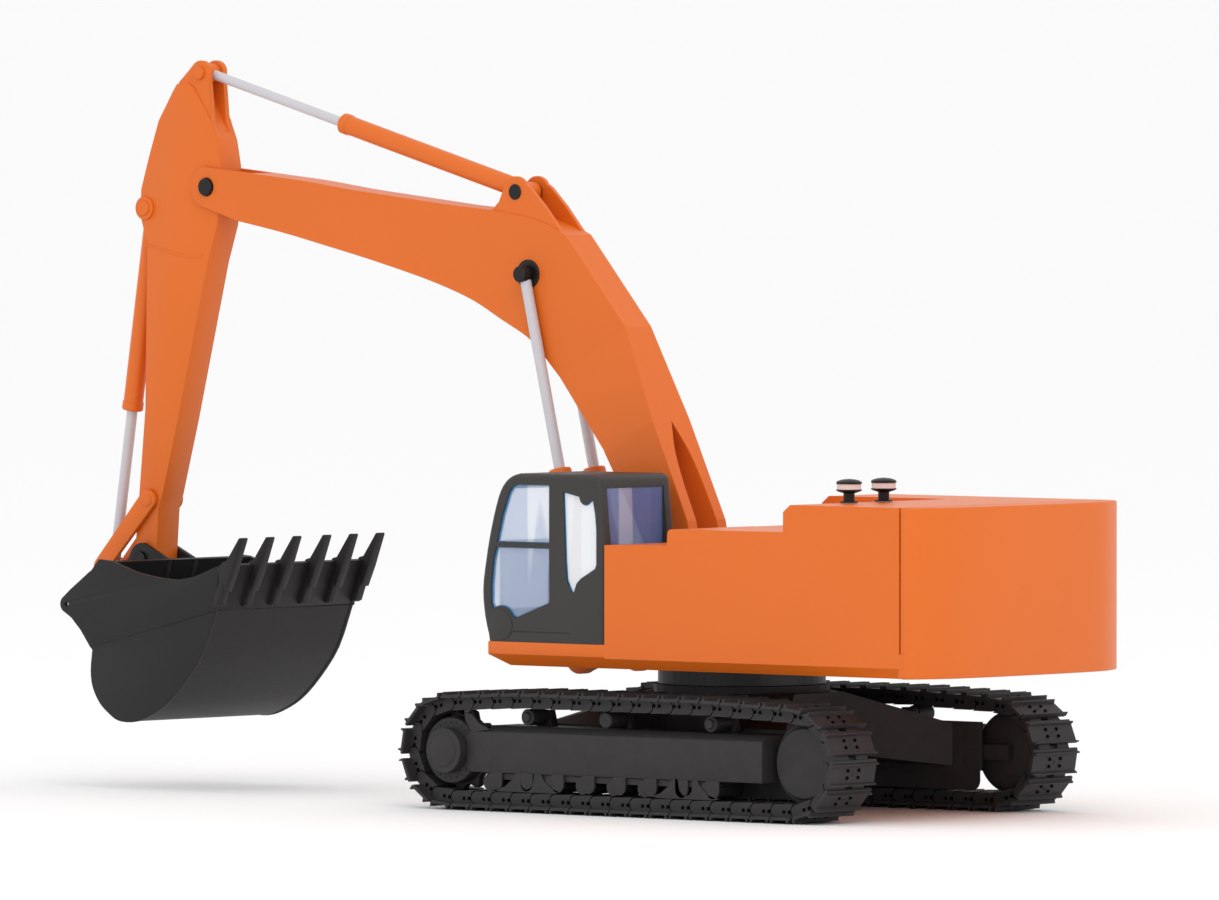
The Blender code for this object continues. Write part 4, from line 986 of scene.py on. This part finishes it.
def cylinders():
    """The two boom cylinders, the stick cylinder and the bucket cylinder."""
    for side, sign in SIDES:
        cylinder(
            f"boom_lift_{side}", f"boom_cylinder_barrel_{side}", sign * BOOM_CYL_Y,
            (BOOM_CYL_BASE, BOOM_CYL_ROD),
            dict(body=f"boom_barrel_{side}", radius=5.6, eye=(4.9, 5.6), length=100, collar=6),
            dict(body=f"boom_rod_{side}", radius=2.95, eye=(2.6, 4.6), start=62, eye_material=BLACK),
        )
    stick_barrel_length = math.dist(STICK_CYL_BASE, STICK_CYL_ROD) - 99.0
    cylinder(
        "stick_crowd", "stick_cylinder_barrel", 0,
        (STICK_CYL_BASE, STICK_CYL_ROD),
        dict(body="stick_barrel", radius=5.1, eye=(5.4, 5.2), length=stick_barrel_length, collar=5),
        dict(body="stick_rod", radius=2.6, eye=(3.6, 5), start=84, eye_material=ORANGE),
    )
    cylinder(
        "bucket_curl", "bucket_cylinder_barrel", 0,
        (BUCKET_CYL_BASE, LINK_PIVOT),
        dict(body="bucket_barrel", radius=5.3, eye=(4.6, 5.2), length=110, collar=5),
        dict(body="bucket_rod", radius=2.9, eye=(3, 4.4), start=70, eye_material=ROD),
    )


# ---- stick and bucket


STICK_COLLAR = [(0, 6.2), (1, 6.2), (1.3, 5.9), (1.3, 3.9), (2, 3.8), (2.2, 3.6), (2.2, 0)]


def stick_outline():
    """Side view of the stick, from its top down the front, round the bucket pin and up the rear."""
    front = [
        (379.5, 382.5), (385.6, 377.1), (389.6, 371.5), (399.8, 355.8), (405.5, 340.1), (409.1, 329.4),
        (412.4, 319),
    ]
    bulge = arc(BUCKET_CYL_BASE, 6.2, 60, -60, 10)
    lower_front = [(408, 290), (409.6, 201), (413.4, 160), (416.6, 128)]
    bucket_end = arc(BUCKET_PIVOT, 7.6, 5, -185, 14)
    rear = [
        (400, 149), (397.4, 155.2), (385.9, 196.7), (364.6, 280.4), (358, 300), (356, 312), (355.2, 322),
        (355.8, 332), (358.5, 345.6), (362.6, 355), (364.6, 376),
    ]
    return front + bulge + lower_front + bucket_end + rear + arc(STICK_CYL_ROD, 6.6, 165, 45, 12)


def stick():
    """The stick with its weld seams and the collars of the bucket cylinder's pin, and its pins."""
    top_slot = [(340, 395), (340, 350), (361, 350), (372, 368), (390, 395)]
    front_slot = [(425, 330), (399, 326), (398, 297), (407, 280), (408, 190), (425, 190)]
    ear_step = [
        (358.8, 349.8), (366.5, 361.9), (375.1, 374), (379.4, 376.2), (388.6, 375.2), (400, 400),
        (345, 400), (345, 349.8),
    ]
    cutters = [side_plate([top_slot], -4.2, 4.2), side_plate([front_slot], -6.2, 6.2)]
    cutters += pair([ear_step], STICK_HALF - 1.2, STICK_HALF + 1)
    body = boolean(side_plate([stick_outline()], -STICK_HALF, STICK_HALF), cutters)
    meshes = [rounded(body, 0.35, angle=40)]
    seam = [(409.8, 290), (380, 284), (368, 284.6)]
    bead = seam + offset_line(seam, 1.1)[::-1]
    for sign in (1, -1):
        meshes.append(slab([bead], sign, STICK_HALF - 0.3, STICK_HALF + 0.25))
        meshes.append(boss(STICK_COLLAR, BUCKET_CYL_BASE, sign, STICK_HALF - 0.2))
    piece("stick_arm", "stick_body", ORANGE, meshes, "stick")

    for node, centre, past_side, radius in (
        ("stick_rod_pin", STICK_CYL_ROD, 0.6, 3.4),
        ("bucket_cylinder_pin", BUCKET_CYL_BASE, 0.8, 3.2),
        ("rocker_pin", ROCKER_PIVOT, 4, 2.6),
    ):
        pin = cross_pin(centre, STICK_HALF + past_side, radius)
        piece(f"{node}_ends", "stick_body", ORANGE, [pin], node)
    pin = cross_pin(BUCKET_PIVOT, 13.4, 3.4)
    piece("bucket_pivot_pin", "stick_body", BLACK, [pin], "bucket_pin")


def linkage():
    """The two rocker arms beside the stick, and the forked link from them to the bucket."""
    arm_outline = capsule(ROCKER_PIVOT, LINK_PIVOT, 5.4, 4.6)
    for side, sign in SIDES:
        arm = slab([arm_outline], sign, STICK_HALF + 0.4, STICK_HALF + 3.2, 0.4)
        end = boss([(0, 3.4), (0.5, 3.4), (0.8, 3), (0.8, 0)], ROCKER_PIVOT, sign, STICK_HALF + 3.1)
        piece(f"rocker_arm_{side}", "rocker", ORANGE, [arm, end], f"rocker_link_{side}")
    pin = cross_pin(LINK_PIVOT, STICK_HALF + 4, 2.5)
    piece("linkage_pin_ends", "rocker", ORANGE, [pin], "linkage_pin")

    hole = circle(BUCKET_LINK_PIVOT, LINK_HOLE_R)
    cheek = capsule(LINK_PIVOT, BUCKET_LINK_PIVOT, 4.4, 5.4)
    fork = pair([cheek, hole], 3.6, 7.8, 0.4)
    web = capsule(along(LINK_PIVOT, BUCKET_LINK_PIVOT, 15.5), BUCKET_LINK_PIVOT, 4, 4.6)
    fork.append(side_plate([web, hole], -4, 4))
    piece("bucket_link_fork", "link", ORANGE, fork, "bucket_link")


def shell_line():
    """Outer side view of the bucket's shell, from the lip to the top of its back."""
    lower = smooth_line([
        (317.9, 97), (327.4, 74.6), (340.6, 58), (354.1, 45.9), (367.7, 39), (377.7, 36.5), (387, 37.1),
        (392.8, 40.1), (399.9, 45.8), (405, 54.2), (406.4, 63.2), (405.2, 73.9),
    ], 3)
    return lower + [(402, 92), (391.4, 121.8)]


def brim_line():
    """The upper edge of the bucket's side, from its back to the lip."""
    top = smooth_line([
        (391.2, 121.7), (381, 118.4), (369, 115.3), (349, 112.9), (336, 114), (327.6, 116.3),
        (314.4, 121.2),
    ], 3)
    return top + [(308, 121)]


def bucket():
    """The bucket's shell, sides, cheek plates and ears, its link pin, and the lip with its teeth."""
    line = shell_line()
    brim = brim_line()
    band = line + offset_line(line, 2)[::-1]
    hook = [(400.9, 122.5), (406.7, 116), (421.5, 105.5)]
    hook += arc(BUCKET_LINK_PIVOT, 4.6, 40, -50, 7) + [(420, 90.6), (413.6, 84.4), (407.5, 75.7)]
    side = brim + offset_line(line[:-2], -0.4) + hook[::-1]
    cheek = [(317, 97), (404, 76), (407.6, 76.6)] + hook[-2:0:-1] + brim[:-1]
    hole = circle(BUCKET_LINK_PIVOT, 1.3, 16)
    ear = [(389.6, 121)] + arc(BUCKET_PIVOT, 8.3, 100, 20, 10)
    ear += arc(BUCKET_LINK_PIVOT, 6.4, 20, -70) + [(403.4, 69), (397.6, 90)]
    meshes = [side_plate([band], 0.8 - BUCKET_HALF, BUCKET_HALF - 0.8)]
    for outline, inner, outer, rounding in (
        ([side, hole], BUCKET_HALF - 2.2, BUCKET_HALF, 0.3),
        ([cheek, hole], BUCKET_HALF - 0.4, BUCKET_HALF + 0.5, 0.2),
        ([ear, circle(BUCKET_PIVOT, 3.6)], STICK_HALF + 0.5, STICK_HALF + 3.3, 0.3),
    ):
        meshes += pair(outline, inner, outer, rounding)
    piece("bucket_shell", "bucket_body", BUCKET, meshes, "bucket")
    pin = cross_pin(BUCKET_LINK_PIVOT, 12.6, 2.5)
    piece("bucket_link_pin_ends", "bucket_body", BLACK, [pin], "bucket_link_pin")

    plate = [(317.6, 97.4), (307.9, 121.1), (310.1, 122), (319.8, 98.3)]
    lip = [rounded(side_plate([plate], 2.2 - BUCKET_HALF, BUCKET_HALF - 2.2), 0.25)]
    for y in TOOTH_YS:
        lip += tooth_on_adapter(y)
    piece("toothed_lip", "bucket_body", BUCKET, lip, "cutting_edge", angle=25)


def tooth_on_adapter(y):
    """One pointed tooth on the adapter that grips the lip from both sides."""
    tooth = [
        (297.2, 135.5), (297.8, 136.1), (298.6, 135.9), (307.4, 123.7), (310.6, 118.6), (308.8, 107.1),
        (303.6, 118.6),
    ]
    adapter = [
        (305.4, 121.4), (307, 123.7), (310.8, 122.9), (313.6, 119.8), (313.2, 112), (318.4, 99.6),
        (315.6, 98.7), (313.2, 99.6), (310.4, 106.9), (305, 119.6),
    ]
    blade = side_plate([tooth], y - 3, y + 3)
    grip = side_plate([adapter], y - 2.6, y + 2.6)
    return [rounded(blade, 0.25), rounded(grip, 0.35)]


# ---- track frames


def roller_guards():
    """Plates outside the lower rollers: a notched guard near each end and short hangers between."""
    guard = [
        (21, 10.9), (14.3, 12.6), (9, 16.4), (6.4, GUARD_TOP_Z), (3.4, GUARD_TOP_Z), (3, 14.6),
        (1.4, 12.6), (-1, 11.6), (-3.6, 12.6), (-5.4, 14.6), (-6.6, GUARD_TOP_Z), (-10.4, GUARD_TOP_Z),
        (-12.8, 16.6), (-18, 12.8), (-24, 10.9), (-20, 10.2), (18, 10.2),
    ]
    ends = ((67.6, 1), (-42.4, -1))
    shapes = [[(middle_x + way * x, z) for x, z in guard] for middle_x, way in ends]
    for i in range(ROLLER_COUNT):
        x = FIRST_ROLLER_X - i * ROLLER_STEP
        hanger = arc((x, 14.9), HANGER_R, 180, 360)
        shapes.append([(x - HANGER_R, GUARD_TOP_Z)] + hanger + [(x + HANGER_R, GUARD_TOP_Z)])
    return shapes


def frame_plates():
    """Plates that make up a track frame: (outline, inner Y, outer Y, rounding), Y from the middle."""
    final_drive = [(90, 21), (90, 40), (118, 44)] + arc(SPROCKET, 13.5, 80, -80, 16) + [(118, 17)]
    cheek = [(90, 19.8), (90, 41), (104.6, 41), (107.7, 38.4), (107.7, 22.6), (104.6, 19.8)]
    bracket = [(92, 42), (99, 45), (104, 49.6), (109.4, 50.6), (108.6, 46.4), (104.6, 40.6)]
    inner_wall = [(-104.4, 22.5), (-104.4, 46.2), (-60, 46.2), (-60, 22.5)]
    skirt = [(90, 10.6), (90, 22.6), (-103.4, 22.6)] + arc((-98.4, 15.6), 5, 180, 270, 6)
    plates = [
        (final_drive, 68.4, 73.5, 0.4), (cheek, 93.1, 94.5, 0.3), (bracket, 93.1, 94.2, 0),
    ]
    for x, z in CARRIERS:
        foot = [(x - 6, 42), (x + 6, 42), (x + 3.4, z + 3.4), (x - 3.4, z + 3.4)]
        plates.append((foot, 70, 75.5, 0.4))
    plates += [(inner_wall, 68.2, 70.4, 0.3), (skirt, 68.2, 69.3, 0)]
    return plates + [(guard, 93.2, FRAME_OUTER_Y, 0) for guard in roller_guards()]


def track_frames():
    """The two long frames that hold the wheels, with everything fixed to them."""
    section = [(68, 19.8), (FRAME_OUTER_Y, 19.8), (FRAME_OUTER_Y, 41), (89.4, 44.2), (68, 44.2)]
    for side, sign in SIDES:
        hull = beam([[(sign * y, z) for y, z in section]], FRAME_REAR_X, FRAME_FRONT_X)
        meshes = [rounded(hull, 0.5)]
        for outline, inner, outer, rounding in frame_plates():
            meshes.append(slab([outline], sign, inner, outer, rounding))
        node = f"track_frame_{side}"
        piece(f"frame_beam_{side}", "undercarriage", DARK, meshes, node)


# ---- studio


def keep_cad(material, *names):
    """Gives CAD solids that stay visible a finish."""
    for name in names:
        frame["nodes"][name].material_slots[0].material = material


def add_camera():
    """A long lens far away, so that parallel edges stay nearly parallel."""
    forward = Vector((
        math.sin(AZIMUTH) * math.cos(ELEVATION),
        -math.cos(AZIMUTH) * math.cos(ELEVATION),
        -math.sin(ELEVATION),
    ))
    right = Vector((-math.cos(AZIMUTH), -math.sin(AZIMUTH), 0))
    up = right.cross(forward)
    aim = right * AIM_RIGHT + up * AIM_UP
    data = bpy.data.cameras.new("camera")
    data.sensor_width = SENSOR_WIDTH
    data.lens = LENS
    data.clip_end = 3000.0
    camera = placed("camera", data)
    place = (aim - forward * CAMERA_DISTANCE) * MM + Vector((SHIFT, 0, 0))
    turn = Matrix((right, up, -forward)).transposed().to_4x4()
    camera.matrix_world = Matrix.Translation(place) @ turn
    bpy.context.scene.camera = camera


def add_floor():
    """A pale floor just under the shoes, in metres."""
    size = 900.0
    corners = [(-size, -size, 0), (size, -size, 0), (size, size, 0), (-size, size, 0)]
    mesh = bpy.data.meshes.new("floor")
    mesh.from_pydata(corners, [], [(0, 1, 2, 3)])
    pale = (0.96, 0.96, 0.96)
    mesh.materials.append(finish("pale_floor", pale, 0.95, vary=0.004, scale=2, bump=0, shine=0.1))
    ground = placed("studio_floor", mesh)
    ground.location.z = -0.0002


def add_lights():
    """White surroundings, a large soft key light from the left and a weaker fill; in metres."""
    world = bpy.data.worlds.new("studio")
    world.use_nodes = True
    tree = world.node_tree
    wire(tree, tree.nodes["Background"], {"Color": (1, 1, 1, 1), "Strength": 1})
    bpy.context.scene.world = world
    aim = Vector((0, 0, 0.15))
    for name, place, size, power in (
        ("key", (-2, 1.2, 2.4), 1.6, 16),
        ("fill", (-1.2, 3, 1.2), 2, 5),
    ):
        light = bpy.data.lights.new(name, "AREA")
        light.size = size
        light.energy = power
        lamp = placed(name, light)
        lamp.location = place
        lamp.rotation_euler = (aim - Vector(place)).to_track_quat("-Z", "Y").to_euler()
    bpy.context.scene.view_settings.view_transform = "Standard"


for track_side, track_sign in SIDES:
    chain(track_side, track_sign)
    wheels(track_side, track_sign)
track_frames()
counterweight()
cover()
deck()
cab()
intakes()
boom()
cylinders()
stick()
linkage()
bucket()
keep_cad(DARK, "carbody", "idler_yoke_left", "idler_yoke_right")
keep_cad(DARK, "track_rollers_left", "track_rollers_right")
keep_cad(STEEL, "slew_ring", "slew_pinion", "slew_motor", "drive_motor_left", "drive_motor_right")
keep_cad(BLACK, "boom_foot_pin", "boom_cylinder_base_pin")
keep_cad(WRAP, "battery_pack")
keep_cad(BOARD, "receiver_board")
add_camera()
add_floor()
add_lights()
